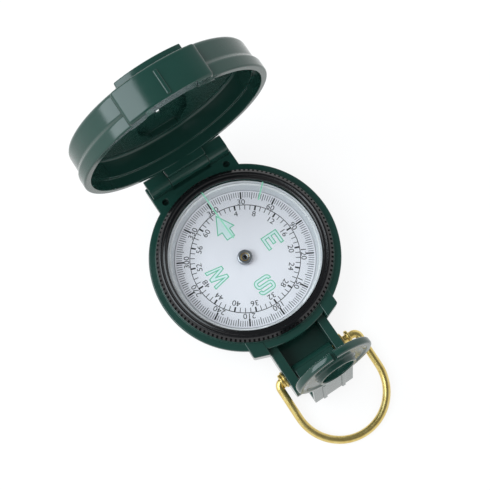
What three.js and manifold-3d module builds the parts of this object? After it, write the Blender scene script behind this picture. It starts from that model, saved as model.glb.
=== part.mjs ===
// A folding lensatic compass: a round moulded case with a liquid capsule, a toothed bezel that turns,
// a deep hinged cover, a hinged lens bracket and a wire thumb loop.
// Units are millimetres. X runs along the cover hinge, Y points from the centre to the cover hinge,
// Z is up, and the origin is the centre of the flat case bottom.

import * as THREE from 'three';
import { mergeVertices } from 'three/addons/utils/BufferGeometryUtils.js';
import Module from 'manifold-3d';

const wasm = await Module();
wasm.setup();

// Facets
const RING_FACETS = 60;
const INNER_FACETS = 36;
const BOSS_FACETS = 20;
const WIRE_FACETS = 10;

// Clearances
const SEAT_GAP = 0.1;
const RUNNING_GAP = 0.25;
const TURNED_GAP = 0.15;
const CUT_OVERRUN = 1;

// Compass card, its hub and its magnet
const CARD_RADIUS = 21;
const CARD_THICKNESS = 0.5;
const CARD_RISE = 3.6;
const HUB_SHANK_RADIUS = 1.7;
const HUB_SHANK_DROP = 1.5;
const HUB_BORE_RADIUS = 0.95;
const HUB_HEAD_RADIUS = 2.25;
const HUB_HEAD_HEIGHT = 1.9;
const JEWEL_RADIUS = 0.6;
const JEWEL_HEIGHT = 0.7;
const JEWEL_DIMPLE_RADIUS = 0.35;
const JEWEL_DIMPLE_DEPTH = 0.25;
const SETTING_WALL = 0.6;
const MAGNET_LENGTH = 26;
const MAGNET_WIDTH = 5;
const MAGNET_THICKNESS = 1.2;

// Pivot under the card
const POST_RADIUS = 1.2;
const POST_HUB_GAP = 0.5;
const POST_FOOT_RADIUS = 2.6;
const POST_FOOT_THICKNESS = 0.6;
const PIN_RADIUS = 0.45;
const PIN_SOCKET = 1.2;
const PIN_TAPER = 1.6;
const PIN_TIP_GAP = 0.12;

// Liquid capsule
const CARD_EDGE_GAP = 0.7;
const BOWL_WALL = 1;
const BOWL_FLOOR = 1;
const HUB_HEADROOM = 1.3;
const LENS_LEDGE = 0.6;
const LENS_THICKNESS = 1;
const SEAL_THICKNESS = 0.3;
const FILL_HOLE_RADIUS = 1;
const FILL_HOLE_OFFSET = 12;
const PLUG_STAND = 0.3;

// Case
const CASE_FLOOR = 1.6;
const CAPSULE_FIT = 0.2;
const SHELF_ABOVE_CAPSULE = 0.6;
const COLLAR_WALL = 0.95;
const COLLAR_HEIGHT = 0.7;
const SHOULDER_WIDTH = 2.4;
const SHOULDER_DROP = 0.9;
const SHOULDER_CROWN = 0.22;
const FLANGE_LAND = 1.8;
const FLANGE_UNDERCUT = 2;
const BODY_INSET = 2.6;
const BODY_DRAFT = 0.25;
const BOTTOM_CHAMFER = 0.8;

// Bezel
const BEZEL_SKIRT_WALL = 1.05;
const BEZEL_LIFT = 0.15;
const BEZEL_OPENING_INSET = 0.7;
const BEZEL_LIP = 0.4;
const BEZEL_ROLL = 0.8;
const TOOTH_COUNT = 120;
const TOOTH_HEIGHT = 0.7;
const TOOTH_LENGTH = 1;
const CRYSTAL_THICKNESS = 0.6;
const SNAP_GROOVE_DEPTH = 0.3;
const SNAP_GROOVE_HEIGHT = 0.35;
const SNAP_RING_THICKNESS = 0.22;
const SNAP_RING_OPENING = 0.18;
const CLICK_POCKET_HALF = 4.2;
const CLICK_POCKET_WIDTH = 0.9;
const CLICK_POCKET_DEPTH = 0.9;
const CLICK_SPRING_THICKNESS = 0.2;

// Cover hinge
const KNUCKLE_RADIUS = 2.3;
const KNUCKLE_WALL_GAP = 0.45;
const KNUCKLE_SIDE_GAP = 0.2;
const COVER_KNUCKLE_HALF = 6.42;
const CASE_KNUCKLE_END = 13.4;
const HINGE_PIN_RADIUS = 0.8;
const HINGE_BELOW_RIM = 2.3;
const HINGE_BLOCK_HALF = 14;
const HINGE_BLOCK_THICKNESS = 3.5;
const LUG_BACK = 3.2;
const LUG_TOP_RISE = 2.1;
const LUG_BACK_ROUND = 0.6;
const LUG_HEEL_DROP = 0.8;
const LUG_HEEL_HEIGHT = 1.2;
const HINGE_LEDGE_WIDTH = 1.7;
const HINGE_LEDGE_DROP = 1.4;
const BLIND_HOLE_RADIUS = 1;
const BLIND_HOLE_X = 10.77;
const BLIND_HOLE_INSET = 4.44;
const BLIND_HOLE_DEPTH = 2.6;

// Cover
const COVER_HEIGHT = 10.2;
const COVER_WALL = 1.92;
const COVER_TOP = 1.2;
const RIM_BAND_HEIGHT = 3.2;
const BAND_STEP = 0.85;
const BAND_STEP_HEIGHT = 1.1;
const COVER_ROUND = 1.2;
const COVER_ROUND_DROP = 1.6;
const REBATE_DEPTH = 3.3;
const REBATE_STEP = 0.9;
const CEILING_CHAMFER = 1;
const BOSS_HEIGHT = 1.5;
const BOSS_FRONT_SETBACK = 1;
const BOSS_HALF_WIDTH = 9.2;
const BOSS_SHOULDER_Y = 14;
const BOSS_REAR_Y = 23.6;
const BOSS_REAR_HALF = 4.9;
const BOSS_WALL = 1.25;
const BOSS_TOP = 0.9;
const FRONT_BLOCK_HALF = 11.7;
const FRONT_BLOCK_STAND = 1.3;
const FRONT_BLOCK_HEIGHT = 9.2;
const FRONT_BLOCK_CHAMFER = 0.45;
const FRONT_RIB_WIDTH = 1.05;
const FRONT_RIB_STAND = 0.4;
const FRONT_RIB_HEIGHT = 6.75;
const FRONT_RIB_LOW = 0.75;
const NOTCH_DEPTH = 0.35;
const NOTCH_CLEARANCE = 0.25;
const NOTCH_SIDE = 0.7;
const SIGHT_Y = 10.8;
const SIGHT_WIDTH = 0.9;
const SIGHT_LENGTH = 2.6;
const SIGHT_FUNNEL_WIDTH = 3.2;
const SIGHT_FUNNEL_LENGTH = 6.8;

// Arms and hips on the bail side of the case
const BRACKET_AXIS_Z = 4.3;
const BRACKET_AXIS_REACH = 7.75;
const ARM_SIDE_GAP = 0.4;
const ARM_THICKNESS = 2.85;
const ARM_TOP_RISE = 4;
const ARM_BOTTOM_DROP = 3.5;
const ARM_END_REACH = 6.3;
const ARM_END_ROUND = 2.4;
const ARM_FLOOR = 0.6;
const HIP_HALF = 14.45;
const HIP_OUTER_Y = 26.7;
const HIP_INNER_Y = 28.5;
const HIP_DROP = 0.6;
const HIP_THICKNESS = 6;

// Lens bracket
const LEG_HALF_WIDTH = 6.5;
const BARREL_RADIUS = 2.15;
const BARREL_SIDE_GAP = 0.15;
const BARREL_BORE_RADIUS = 1.65;
const LEG_BACK = 0.3;
const LEG_THICKNESS = 2.6;
const NECK_OVER_BEZEL = 0.25;
const NECK_THICKNESS = 1.1;
const NECK_LAP = 5;
const NECK_RIB_X = 3.15;
const NECK_RIB_WIDTH = 1.2;
const NECK_RIB_STAND = 0.3;
const NECK_RIB_LENGTH = 15.4;
const DISC_OVER_BEZEL = 1.05;
const DISC_RADIUS = 11.1;
const DISC_THICKNESS = 1.95;
const DISC_ROUND = 0.6;
const DISC_REACH = 33;
const RIM_RING_INNER = 9.4;
const DISH_OUTER = 8.7;
const DISH_INNER = 6.6;
const DISH_DEPTH = 0.35;
const EYE_RADIUS = 4.65;
const EYE_COLLAR_WALL = 0.8;
const EYE_COLLAR_STAND = 1.1;
const EYE_COLLAR_ROUND = 0.2;
const LENS_EDGE_LAP = 0.7;
const LENS_SEAT_DROP = 0.6;
const LENS_SEAT_WALL = 1.1;
const EYE_LENS_EDGE = 0.9;
const EYE_LENS_DOME = 0.6;
const RETAINER_THICKNESS = 0.5;
const RETAINER_WIDTH = 0.75;
const SIGHT_NOTCH_WIDTH = 1.1;
const SIGHT_NOTCH_DEPTH = 1.5;

// Thumb loop and its eyelets
const WIRE_RADIUS = 1.15;
const LOOP_HALF = 13.9;
const LOOP_REACH = 25.3;
const LOOP_SLIDE = 1.35;
const LOOP_BEND_RADIUS = 1.7;
const LOOP_END_DEPTH = 3.6;
const LOOP_FLOOR_GAP = 0.05;
const LOOP_COLLAR_RADIUS = 2.1;
const LOOP_COLLAR_LENGTH = 0.7;
const LOOP_COLLAR_GAP = 0.15;
const EYELET_WALL = 0.25;
const EYELET_FLANGE_RADIUS = 2.6;
const EYELET_FLANGE_THICKNESS = 0.5;
const EYELET_TAIL = 2.4;

// Pose in which the compass stands at rest
const COVER_OPEN_DEGREES = 84.5;
const BRACKET_OPEN_DEGREES = 81;

// Radii from the card outwards
const bowlInner = CARD_RADIUS + CARD_EDGE_GAP;
const bowlOuter = bowlInner + BOWL_WALL;
const boreRadius = bowlOuter + CAPSULE_FIT;
const collarOuter = boreRadius + COLLAR_WALL;
const skirtInner = collarOuter + RUNNING_GAP;
const toothRoot = skirtInner + BEZEL_SKIRT_WALL;
const toothTip = toothRoot + TOOTH_HEIGHT;
const flangeRadius = toothTip + SHOULDER_WIDTH;
const bodyRadius = flangeRadius - BODY_INSET;
const crystalRadius = collarOuter - COLLAR_WALL / 2 - SEAT_GAP;
const bezelOpening = crystalRadius - BEZEL_OPENING_INSET;

// Heights from the case bottom upwards
const bowlBottom = CASE_FLOOR + SEAT_GAP;
const bowlFloorTop = bowlBottom + BOWL_FLOOR;
const cardBottom = bowlFloorTop + CARD_RISE;
const cardTop = cardBottom + CARD_THICKNESS;
const hubTop = cardTop + HUB_HEAD_HEIGHT;
const lensSeat = hubTop + HUB_HEADROOM;
const postTop = cardBottom - HUB_SHANK_DROP - POST_HUB_GAP;
const lensBottom = lensSeat + SEAL_THICKNESS;
const capsuleTop = lensBottom + LENS_THICKNESS;
const shelfZ = capsuleTop + SHELF_ABOVE_CAPSULE;
const flangeZ = shelfZ - SHOULDER_DROP;
const collarTop = shelfZ + COLLAR_HEIGHT;
const skirtBottom = shelfZ + BEZEL_LIFT;
const crystalBottom = collarTop + BEZEL_LIFT;
const crystalTop = crystalBottom + CRYSTAL_THICKNESS;
const bezelTop = crystalTop + BEZEL_LIP;

// Folded bracket, closed cover and hinge follow the bezel that they pass over
const bracketAxisY = -(flangeRadius + BRACKET_AXIS_REACH);
const neckInner = bezelTop + NECK_OVER_BEZEL - BRACKET_AXIS_Z;
const neckOuter = neckInner + NECK_THICKNESS;
const ribOuter = neckOuter + NECK_RIB_STAND;
const discInner = bezelTop + DISC_OVER_BEZEL - BRACKET_AXIS_Z;
const discOuter = discInner + DISC_THICKNESS;
const lensHolderInner = discInner - LENS_SEAT_DROP;
const eyeCollarTop = discOuter + EYE_COLLAR_STAND;
const notchTop = BRACKET_AXIS_Z + ribOuter + NOTCH_CLEARANCE;
const rimZ = notchTop - NOTCH_DEPTH;
const coverRadius = flangeRadius;
const hingeY = coverRadius + KNUCKLE_RADIUS + KNUCKLE_WALL_GAP;
const hingeZ = rimZ - HINGE_BELOW_RIM;
const armInner = LEG_HALF_WIDTH + ARM_SIDE_GAP;
const armOuter = armInner + ARM_THICKNESS;
const eyeletBore = WIRE_RADIUS + TURNED_GAP;
const eyeletTube = eyeletBore + EYELET_WALL;
const eyeletFace = armOuter + SEAT_GAP + EYELET_FLANGE_THICKNESS;

// Geometry helpers

/** Turns a closed three.js geometry into a solid that can be joined and cut. */
function solid(geometry) {
  const bare = geometry.index ? geometry.toNonIndexed() : geometry.clone();
  for (const name of Object.keys(bare.attributes)) {
    if (name !== 'position') bare.deleteAttribute(name);
  }
  const merged = mergeVertices(bare, 1e-5);
  const vertProperties = new Float32Array(merged.attributes.position.array);
  const corners = [];
  const source = merged.index.array;
  for (let i = 0; i < source.length; i += 3) {
    const [a, b, c] = [source[i], source[i + 1], source[i + 2]];
    if (a !== b && b !== c && c !== a) corners.push(a, b, c);
  }
  if (signedVolume(vertProperties, corners) < 0) corners.reverse();
  const triVerts = new Uint32Array(corners);
  return new wasm.Manifold(new wasm.Mesh({ numProp: 3, vertProperties, triVerts }));
}

/** Volume enclosed by a triangle mesh, negative where its faces point inwards. */
function signedVolume(points, corners) {
  const [a, b, c] = [new THREE.Vector3(), new THREE.Vector3(), new THREE.Vector3()];
  let sum = 0;
  for (let i = 0; i < corners.length; i += 3) {
    a.fromArray(points, 3 * corners[i]);
    b.fromArray(points, 3 * corners[i + 1]);
    c.fromArray(points, 3 * corners[i + 2]);
    sum += a.dot(b.cross(c)) / 6;
  }
  return sum;
}

/** Solid of revolution about Z from [radius, height] points. */
function turned(points, facets = RING_FACETS) {
  const profile = points.map(([radius, height]) => new THREE.Vector2(radius, height));
  return solid(new THREE.LatheGeometry(profile, facets).rotateX(Math.PI / 2));
}

/** Solid ring of revolution about Z whose [radius, height] outline closes on itself. */
function turnedRing(points, facets = RING_FACETS) {
  return turned([...points, points[0]], facets);
}

/** Round bar about Z between two heights. */
function bar(radius, low, high, facets = RING_FACETS) {
  return turned([[0, low], [radius, low], [radius, high], [0, high]], facets);
}

/** Plain tube about Z between two heights. */
function tube(inner, outer, low, high, facets = RING_FACETS) {
  return turnedRing([[inner, low], [outer, low], [outer, high], [inner, high]], facets);
}

/** Round bar along X between two ends, about the line at y, z. */
function crossBar(radius, from, to, y, z, facets = BOSS_FACETS) {
  const geometry = new THREE.CylinderGeometry(radius, radius, to - from, facets);
  return solid(geometry.rotateZ(Math.PI / 2).translate((from + to) / 2, y, z));
}

/** Box between two corners. */
function block(low, high) {
  const size = high.map((value, i) => value - low[i]);
  const middle = high.map((value, i) => (value + low[i]) / 2);
  return solid(new THREE.BoxGeometry(...size).translate(...middle));
}

/** Flat outline in XY, given as [x, y] points, raised from one height to another. */
function plate(points, low, high) {
  const outline = new THREE.Shape(points.map(([x, y]) => new THREE.Vector2(x, y)));
  const options = { depth: high - low, bevelEnabled: false };
  return solid(new THREE.ExtrudeGeometry(outline, options).translate(0, 0, low));
}

/** Flat outline in YZ, raised along X from one place to another. */
function sidePlate(outline, from, to) {
  const options = { depth: to - from, bevelEnabled: false, curveSegments: 6 };
  const geometry = new THREE.ExtrudeGeometry(outline, options);
  const turn = new THREE.Matrix4().set(0, 0, 1, from, 1, 0, 0, 0, 0, 1, 0, 0, 0, 0, 0, 1);
  return solid(geometry.applyMatrix4(turn));
}

/** Points of an arc about the origin, from one angle to another in degrees. */
function arcPoints(radius, from, to, steps) {
  return Array.from({ length: steps + 1 }, (_, i) => {
    const angle = THREE.MathUtils.degToRad(from + ((to - from) * i) / steps);
    return [radius * Math.cos(angle), radius * Math.sin(angle)];
  });
}

/** The same points seen in the mirror x = 0, in the order that continues an outline. */
function mirrored(points) {
  return points.map(([x, y]) => [-x, y]).reverse();
}

/** Joins solids into one. */
function joined(...pieces) {
  return pieces.reduce((whole, piece) => whole.add(piece));
}

/** Cuts every tool out of a body. */
function cut(body, ...tools) {
  return tools.reduce((rest, tool) => rest.subtract(tool), body);
}

/** Geometry of a finished solid, moved so that the given point becomes its origin. */
function geometryAbout(body, origin = [0, 0, 0]) {
  const { vertProperties, triVerts } = body.getMesh();
  const geometry = new THREE.BufferGeometry();
  geometry.setAttribute('position', new THREE.BufferAttribute(new Float32Array(vertProperties), 3));
  geometry.setIndex(Array.from(triVerts));
  geometry.translate(...origin.map((value) => -value));
  geometry.computeVertexNormals();
  return geometry;
}

// Case

function caseBody() {
  const grooveMiddle = (skirtBottom + collarTop) / 2;
  const grooveLow = grooveMiddle - SNAP_GROOVE_HEIGHT / 2;
  const grooveHigh = grooveMiddle + SNAP_GROOVE_HEIGHT / 2;
  const grooveRadius = collarOuter - SNAP_GROOVE_DEPTH;
  const shoulderTop = toothTip + BEZEL_LIFT;
  const shoulderMiddle = (shoulderTop + flangeRadius) / 2;
  const landBottom = flangeZ - FLANGE_LAND;
  const shell = turned([
    [0, 0],
    [bodyRadius - BODY_DRAFT - BOTTOM_CHAMFER, 0],
    [bodyRadius - BODY_DRAFT, BOTTOM_CHAMFER],
    [bodyRadius, landBottom - FLANGE_UNDERCUT],
    [flangeRadius, landBottom],
    [flangeRadius, flangeZ],
    [shoulderMiddle, (flangeZ + shelfZ) / 2 + SHOULDER_CROWN],
    [shoulderTop, shelfZ],
    [collarOuter, shelfZ],
    [collarOuter, grooveLow],
    [grooveRadius, grooveLow],
    [grooveRadius, grooveHigh],
    [collarOuter, grooveHigh],
    [collarOuter, collarTop],
    [0, collarTop],
  ]);
  const bore = bar(boreRadius, CASE_FLOOR, collarTop + CUT_OVERRUN);
  const body = joined(shell, hingeBlock(), hips(), arms());
  return cut(body, bore, bezelSpace(), clickPocket(), ...blindHoles());
}

/** Plate behind the case, level with its flange, that carries the two outer knuckles. */
function hingeBlock() {
  const top = flangeZ;
  const bottom = top - HINGE_BLOCK_THICKNESS;
  const knuckleStart = COVER_KNUCKLE_HALF + KNUCKLE_SIDE_GAP;
  const back = hingeY + KNUCKLE_RADIUS;
  let body = block([-HINGE_BLOCK_HALF, boreRadius, bottom], [HINGE_BLOCK_HALF, back, top]);
  for (const side of [-1, 1]) {
    const [from, to] = side < 0 ? [-CASE_KNUCKLE_END, -knuckleStart] : [knuckleStart, CASE_KNUCKLE_END];
    body = joined(body, hingeLug(from, to, bottom, back));
  }
  const slotFront = hingeY - KNUCKLE_RADIUS - KNUCKLE_WALL_GAP;
  const slot = block(
    [-knuckleStart, slotFront, bottom - CUT_OVERRUN],
    [knuckleStart, back + CUT_OVERRUN, hingeZ + KNUCKLE_RADIUS + CUT_OVERRUN],
  );
  const pinBore = crossBar(
    HINGE_PIN_RADIUS + TURNED_GAP,
    -CASE_KNUCKLE_END - CUT_OVERRUN,
    CASE_KNUCKLE_END + CUT_OVERRUN,
    hingeY,
    hingeZ,
  );
  const ledge = block(
    [-knuckleStart - SEAT_GAP, slotFront - SEAT_GAP, bottom],
    [knuckleStart + SEAT_GAP, slotFront + HINGE_LEDGE_WIDTH, top - HINGE_LEDGE_DROP],
  );
  return joined(cut(body, slot, pinBore), ledge);
}

/** Two blind holes in the top of the hinge plate. */
function blindHoles() {
  const bottom = flangeZ - BLIND_HOLE_DEPTH;
  const hole = bar(BLIND_HOLE_RADIUS, bottom, shelfZ + CUT_OVERRUN, BOSS_FACETS);
  return [-BLIND_HOLE_X, BLIND_HOLE_X].map((x) => hole.translate([x, hingeY - BLIND_HOLE_INSET, 0]));
}

/** One outer knuckle: round in front, and built out behind to the mouth of the opened cover. */
function hingeLug(from, to, bottom, back) {
  const front = hingeY - KNUCKLE_RADIUS;
  const rear = hingeY + LUG_BACK;
  const top = hingeZ + LUG_TOP_RISE;
  const side = new THREE.Shape();
  side.moveTo(front, bottom);
  side.lineTo(front, hingeZ);
  side.absarc(hingeY, hingeZ, KNUCKLE_RADIUS, Math.PI, Math.PI / 2, true);
  side.lineTo(rear - LUG_BACK_ROUND, top);
  side.quadraticCurveTo(rear, top, rear, top - LUG_BACK_ROUND);
  side.lineTo(rear, hingeZ - LUG_HEEL_DROP);
  side.lineTo(back, hingeZ - LUG_HEEL_DROP - LUG_HEEL_HEIGHT);
  side.lineTo(back, bottom);
  return sidePlate(side, from, to);
}

/** Flat ears of the case on both sides of the arms. */
function hips() {
  const top = shelfZ - HIP_DROP;
  const right = [
    [armOuter, -boreRadius],
    [armOuter, -HIP_INNER_Y],
    [HIP_HALF, -HIP_OUTER_Y],
    [HIP_HALF, -boreRadius + HIP_HALF / 2],
  ];
  const ears = [right, mirrored(right)].map((outline) => plate(outline, top - HIP_THICKNESS, top));
  return joined(...ears);
}

/** Two arms that carry the lens bracket and the thumb loop, with the thin floor between them. */
function arms() {
  const top = BRACKET_AXIS_Z + ARM_TOP_RISE;
  const bottom = BRACKET_AXIS_Z - ARM_BOTTOM_DROP;
  const end = bracketAxisY - ARM_END_REACH;
  const side = new THREE.Shape();
  side.moveTo(-boreRadius, bottom);
  side.lineTo(end + ARM_END_ROUND, bottom);
  side.quadraticCurveTo(end, bottom, end, bottom + ARM_END_ROUND);
  side.lineTo(end, top - ARM_END_ROUND);
  side.quadraticCurveTo(end, top, end + ARM_END_ROUND, top);
  side.lineTo(-boreRadius, top);
  const pair = [[armInner, armOuter], [-armOuter, -armInner]].map(([from, to]) => sidePlate(side, from, to));
  const floor = block(
    [-armInner - SEAT_GAP, end + ARM_END_ROUND, bottom],
    [armInner + SEAT_GAP, -boreRadius, bottom + ARM_FLOOR],
  );
  const hole = crossBar(
    eyeletTube + SEAT_GAP,
    -armOuter - CUT_OVERRUN,
    armOuter + CUT_OVERRUN,
    bracketAxisY,
    BRACKET_AXIS_Z,
  );
  return joined(cut(joined(...pair), hole), floor);
}

/** Room above the shelf in which the bezel turns. */
function bezelSpace() {
  return tube(collarOuter, toothTip + BEZEL_LIFT, shelfZ, bezelTop + CUT_OVERRUN);
}

/** Slot in the shelf that holds the click spring under the bezel. */
function clickPocket() {
  const middle = (skirtInner + toothRoot) / 2;
  return block(
    [middle - CLICK_POCKET_WIDTH / 2, -CLICK_POCKET_HALF, shelfZ - CLICK_POCKET_DEPTH],
    [middle + CLICK_POCKET_WIDTH / 2, CLICK_POCKET_HALF, shelfZ + CUT_OVERRUN],
  );
}

// Capsule and card

function capsuleBowl() {
  const ledge = bowlInner + LENS_LEDGE;
  const bowl = turned(
    [
      [0, bowlBottom],
      [bowlOuter, bowlBottom],
      [bowlOuter, capsuleTop],
      [ledge, capsuleTop],
      [ledge, lensSeat],
      [bowlInner, lensSeat],
      [bowlInner, bowlFloorTop],
      [0, bowlFloorTop],
    ],
    INNER_FACETS,
  );
  const throughFloor = [bowlBottom - CUT_OVERRUN, bowlFloorTop + CUT_OVERRUN];
  const postHole = bar(POST_RADIUS + SEAT_GAP, ...throughFloor, BOSS_FACETS);
  const fillHole = bar(FILL_HOLE_RADIUS, ...throughFloor, BOSS_FACETS);
  return cut(bowl, postHole, fillHole.translate([0, -FILL_HOLE_OFFSET, 0]));
}

function capsuleSeal() {
  return tube(bowlInner, bowlInner + LENS_LEDGE - SEAT_GAP, lensSeat, lensBottom, INNER_FACETS);
}

function capsuleLens() {
  return bar(bowlInner + LENS_LEDGE - SEAT_GAP, lensBottom, capsuleTop, INNER_FACETS);
}

function fillPlug() {
  const plug = turned(
    [
      [0, bowlBottom],
      [FILL_HOLE_RADIUS - SEAT_GAP, bowlBottom],
      [FILL_HOLE_RADIUS - SEAT_GAP, bowlFloorTop],
      [FILL_HOLE_RADIUS - PLUG_STAND, bowlFloorTop + PLUG_STAND],
      [0, bowlFloorTop + PLUG_STAND],
    ],
    BOSS_FACETS,
  );
  return plug.translate([0, -FILL_HOLE_OFFSET, 0]);
}

function pivotPost() {
  const foot = bowlFloorTop + POST_FOOT_THICKNESS;
  return turned(
    [
      [0, bowlBottom],
      [POST_RADIUS, bowlBottom],
      [POST_RADIUS, bowlFloorTop],
      [POST_FOOT_RADIUS, bowlFloorTop],
      [POST_FOOT_RADIUS, foot],
      [POST_RADIUS, foot],
      [POST_RADIUS, postTop],
      [PIN_RADIUS + SEAT_GAP, postTop],
      [PIN_RADIUS + SEAT_GAP, postTop - PIN_SOCKET],
      [0, postTop - PIN_SOCKET],
    ],
    BOSS_FACETS,
  );
}

function pivotPin() {
  const bottom = postTop - PIN_SOCKET;
  const tip = hubTop - JEWEL_HEIGHT - SEAT_GAP + JEWEL_DIMPLE_DEPTH - PIN_TIP_GAP;
  return turned(
    [
      [0, bottom],
      [PIN_RADIUS, bottom],
      [PIN_RADIUS, tip - PIN_TAPER],
      [0, tip],
    ],
    BOSS_FACETS,
  );
}

function dialCard() {
  return tube(HUB_SHANK_RADIUS + SEAT_GAP, CARD_RADIUS, cardBottom, cardTop, INNER_FACETS);
}

function dialMagnet() {
  const top = cardBottom;
  const bottom = top - MAGNET_THICKNESS;
  const strip = block(
    [-MAGNET_WIDTH / 2, -MAGNET_LENGTH / 2, bottom],
    [MAGNET_WIDTH / 2, MAGNET_LENGTH / 2, top],
  );
  return cut(strip, bar(HUB_SHANK_RADIUS + SEAT_GAP, bottom - CUT_OVERRUN, top + CUT_OVERRUN, BOSS_FACETS));
}

function dialHub() {
  const recess = hubTop - JEWEL_HEIGHT - 2 * SEAT_GAP;
  const recessRadius = JEWEL_RADIUS + SETTING_WALL + 2 * SEAT_GAP;
  return turnedRing(
    [
      [HUB_BORE_RADIUS, cardBottom - HUB_SHANK_DROP],
      [HUB_SHANK_RADIUS, cardBottom - HUB_SHANK_DROP],
      [HUB_SHANK_RADIUS, cardTop],
      [HUB_HEAD_RADIUS, cardTop],
      [HUB_HEAD_RADIUS, hubTop],
      [recessRadius, hubTop],
      [recessRadius, recess],
      [HUB_BORE_RADIUS, recess],
    ],
    BOSS_FACETS,
  );
}

function jewelSetting() {
  const inner = JEWEL_RADIUS + SEAT_GAP;
  return tube(inner, inner + SETTING_WALL, hubTop - JEWEL_HEIGHT - 2 * SEAT_GAP, hubTop, BOSS_FACETS);
}

function jewel() {
  const bottom = hubTop - JEWEL_HEIGHT - SEAT_GAP;
  return turned(
    [
      [0, bottom + JEWEL_DIMPLE_DEPTH],
      [JEWEL_DIMPLE_RADIUS, bottom],
      [JEWEL_RADIUS, bottom],
      [JEWEL_RADIUS, bottom + JEWEL_HEIGHT],
      [0, bottom + JEWEL_HEIGHT],
    ],
    BOSS_FACETS,
  );
}

// Bezel

function bezelRing() {
  const seat = crystalRadius + SEAT_GAP;
  const grooveMiddle = (skirtBottom + collarTop) / 2;
  const grooveLow = grooveMiddle - SNAP_GROOVE_HEIGHT / 2;
  const grooveHigh = grooveMiddle + SNAP_GROOVE_HEIGHT / 2;
  const grooveRadius = skirtInner + SNAP_GROOVE_DEPTH;
  const toothTop = skirtBottom + TOOTH_LENGTH;
  const body = turnedRing([
    [skirtInner, skirtBottom],
    [toothRoot, skirtBottom],
    [toothRoot, toothTop],
    [toothRoot - BEZEL_ROLL, bezelTop],
    [bezelOpening + BEZEL_LIP, bezelTop],
    [bezelOpening, crystalTop],
    [seat, crystalTop],
    [seat, crystalBottom],
    [skirtInner, crystalBottom],
    [skirtInner, grooveHigh],
    [grooveRadius, grooveHigh],
    [grooveRadius, grooveLow],
    [skirtInner, grooveLow],
  ]);
  const outline = Array.from({ length: 2 * TOOTH_COUNT }, (_, i) => {
    const angle = (Math.PI * i) / TOOTH_COUNT;
    const radius = i % 2 ? toothRoot : toothTip;
    return [radius * Math.cos(angle), radius * Math.sin(angle)];
  });
  const core = bar((skirtInner + toothRoot) / 2, skirtBottom - CUT_OVERRUN, toothTop + CUT_OVERRUN);
  return joined(body, cut(plate(outline, skirtBottom, toothTop), core));
}

function bezelCrystal() {
  return bar(crystalRadius, crystalBottom, crystalTop);
}

/** Split wire ring that lies half in the collar and half in the skirt. */
function bezelSnapRing() {
  const middle = (skirtBottom + collarTop) / 2;
  const low = middle - SNAP_RING_THICKNESS / 2;
  const inner = collarOuter - SNAP_GROOVE_DEPTH + SEAT_GAP;
  const outer = skirtInner + SNAP_GROOVE_DEPTH - SEAT_GAP;
  const ring = tube(inner, outer, low, low + SNAP_RING_THICKNESS);
  const half = SNAP_RING_OPENING * outer;
  const gap = block([-half, 0, low - CUT_OVERRUN], [half, outer + CUT_OVERRUN, low + CUT_OVERRUN]);
  return cut(ring, gap);
}

/** Bowed leaf spring in the shelf pocket, its crown just under the bezel skirt. */
function bezelClickSpring() {
  const middle = (skirtInner + toothRoot) / 2;
  const half = CLICK_POCKET_HALF - SEAT_GAP;
  const low = shelfZ - CLICK_POCKET_DEPTH;
  const crown = 2 * (skirtBottom - SEAT_GAP / 2 - low - CLICK_SPRING_THICKNESS);
  const leaf = new THREE.Shape();
  leaf.moveTo(-half, low);
  leaf.quadraticCurveTo(0, low + crown, half, low);
  leaf.lineTo(half, low + CLICK_SPRING_THICKNESS);
  leaf.quadraticCurveTo(0, low + crown + CLICK_SPRING_THICKNESS, -half, low + CLICK_SPRING_THICKNESS);
  const width = CLICK_POCKET_WIDTH - 2 * SEAT_GAP;
  const options = { depth: width, bevelEnabled: false, curveSegments: 10 };
  const geometry = new THREE.ExtrudeGeometry(leaf, options);
  geometry.rotateX(Math.PI / 2).rotateZ(Math.PI / 2).translate(middle - width / 2, 0, 0);
  return solid(geometry);
}

// Cover, drawn closed

function coverShell() {
  const wallTop = rimZ + COVER_HEIGHT;
  const bandRadius = coverRadius - BAND_STEP;
  const outside = turned([
    [0, rimZ],
    [coverRadius, rimZ],
    [coverRadius, rimZ + RIM_BAND_HEIGHT],
    [bandRadius, rimZ + RIM_BAND_HEIGHT + BAND_STEP_HEIGHT],
    [bandRadius, wallTop - COVER_ROUND_DROP],
    [bandRadius - 0.3 * COVER_ROUND, wallTop - 0.35 * COVER_ROUND_DROP],
    [bandRadius - COVER_ROUND, wallTop],
    [0, wallTop],
  ]);
  const body = joined(outside, coverFrontBlock(), coverBoss(), coverKnuckle());
  const cup = joined(cut(body, coverHollow(), coverBossHollow()), coverFrontFill());
  return cut(cup, coverNotch(), sightFunnel(), coverPinBore());
}

/** Solid stretch of the mouth behind the thumb pad, where the rebate is left out. */
function coverFrontFill() {
  const mouth = coverRadius - COVER_WALL;
  const high = rimZ + REBATE_DEPTH + SEAT_GAP;
  const ring = tube(mouth - REBATE_STEP, mouth + SEAT_GAP, rimZ, high);
  const window = block([-FRONT_BLOCK_HALF, -coverRadius, rimZ], [FRONT_BLOCK_HALF, 0, high]);
  return ring.intersect(window);
}

/** Space under the cover: a shallow rebate at the mouth, then the cup. */
function coverHollow() {
  const mouth = coverRadius - COVER_WALL;
  const cup = mouth - REBATE_STEP;
  const ceiling = rimZ + COVER_HEIGHT - COVER_TOP;
  return turned([
    [0, rimZ - CUT_OVERRUN],
    [mouth, rimZ - CUT_OVERRUN],
    [mouth, rimZ + REBATE_DEPTH],
    [cup, rimZ + REBATE_DEPTH],
    [cup, ceiling - CEILING_CHAMFER],
    [cup - CEILING_CHAMFER, ceiling],
    [0, ceiling],
  ]);
}

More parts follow.
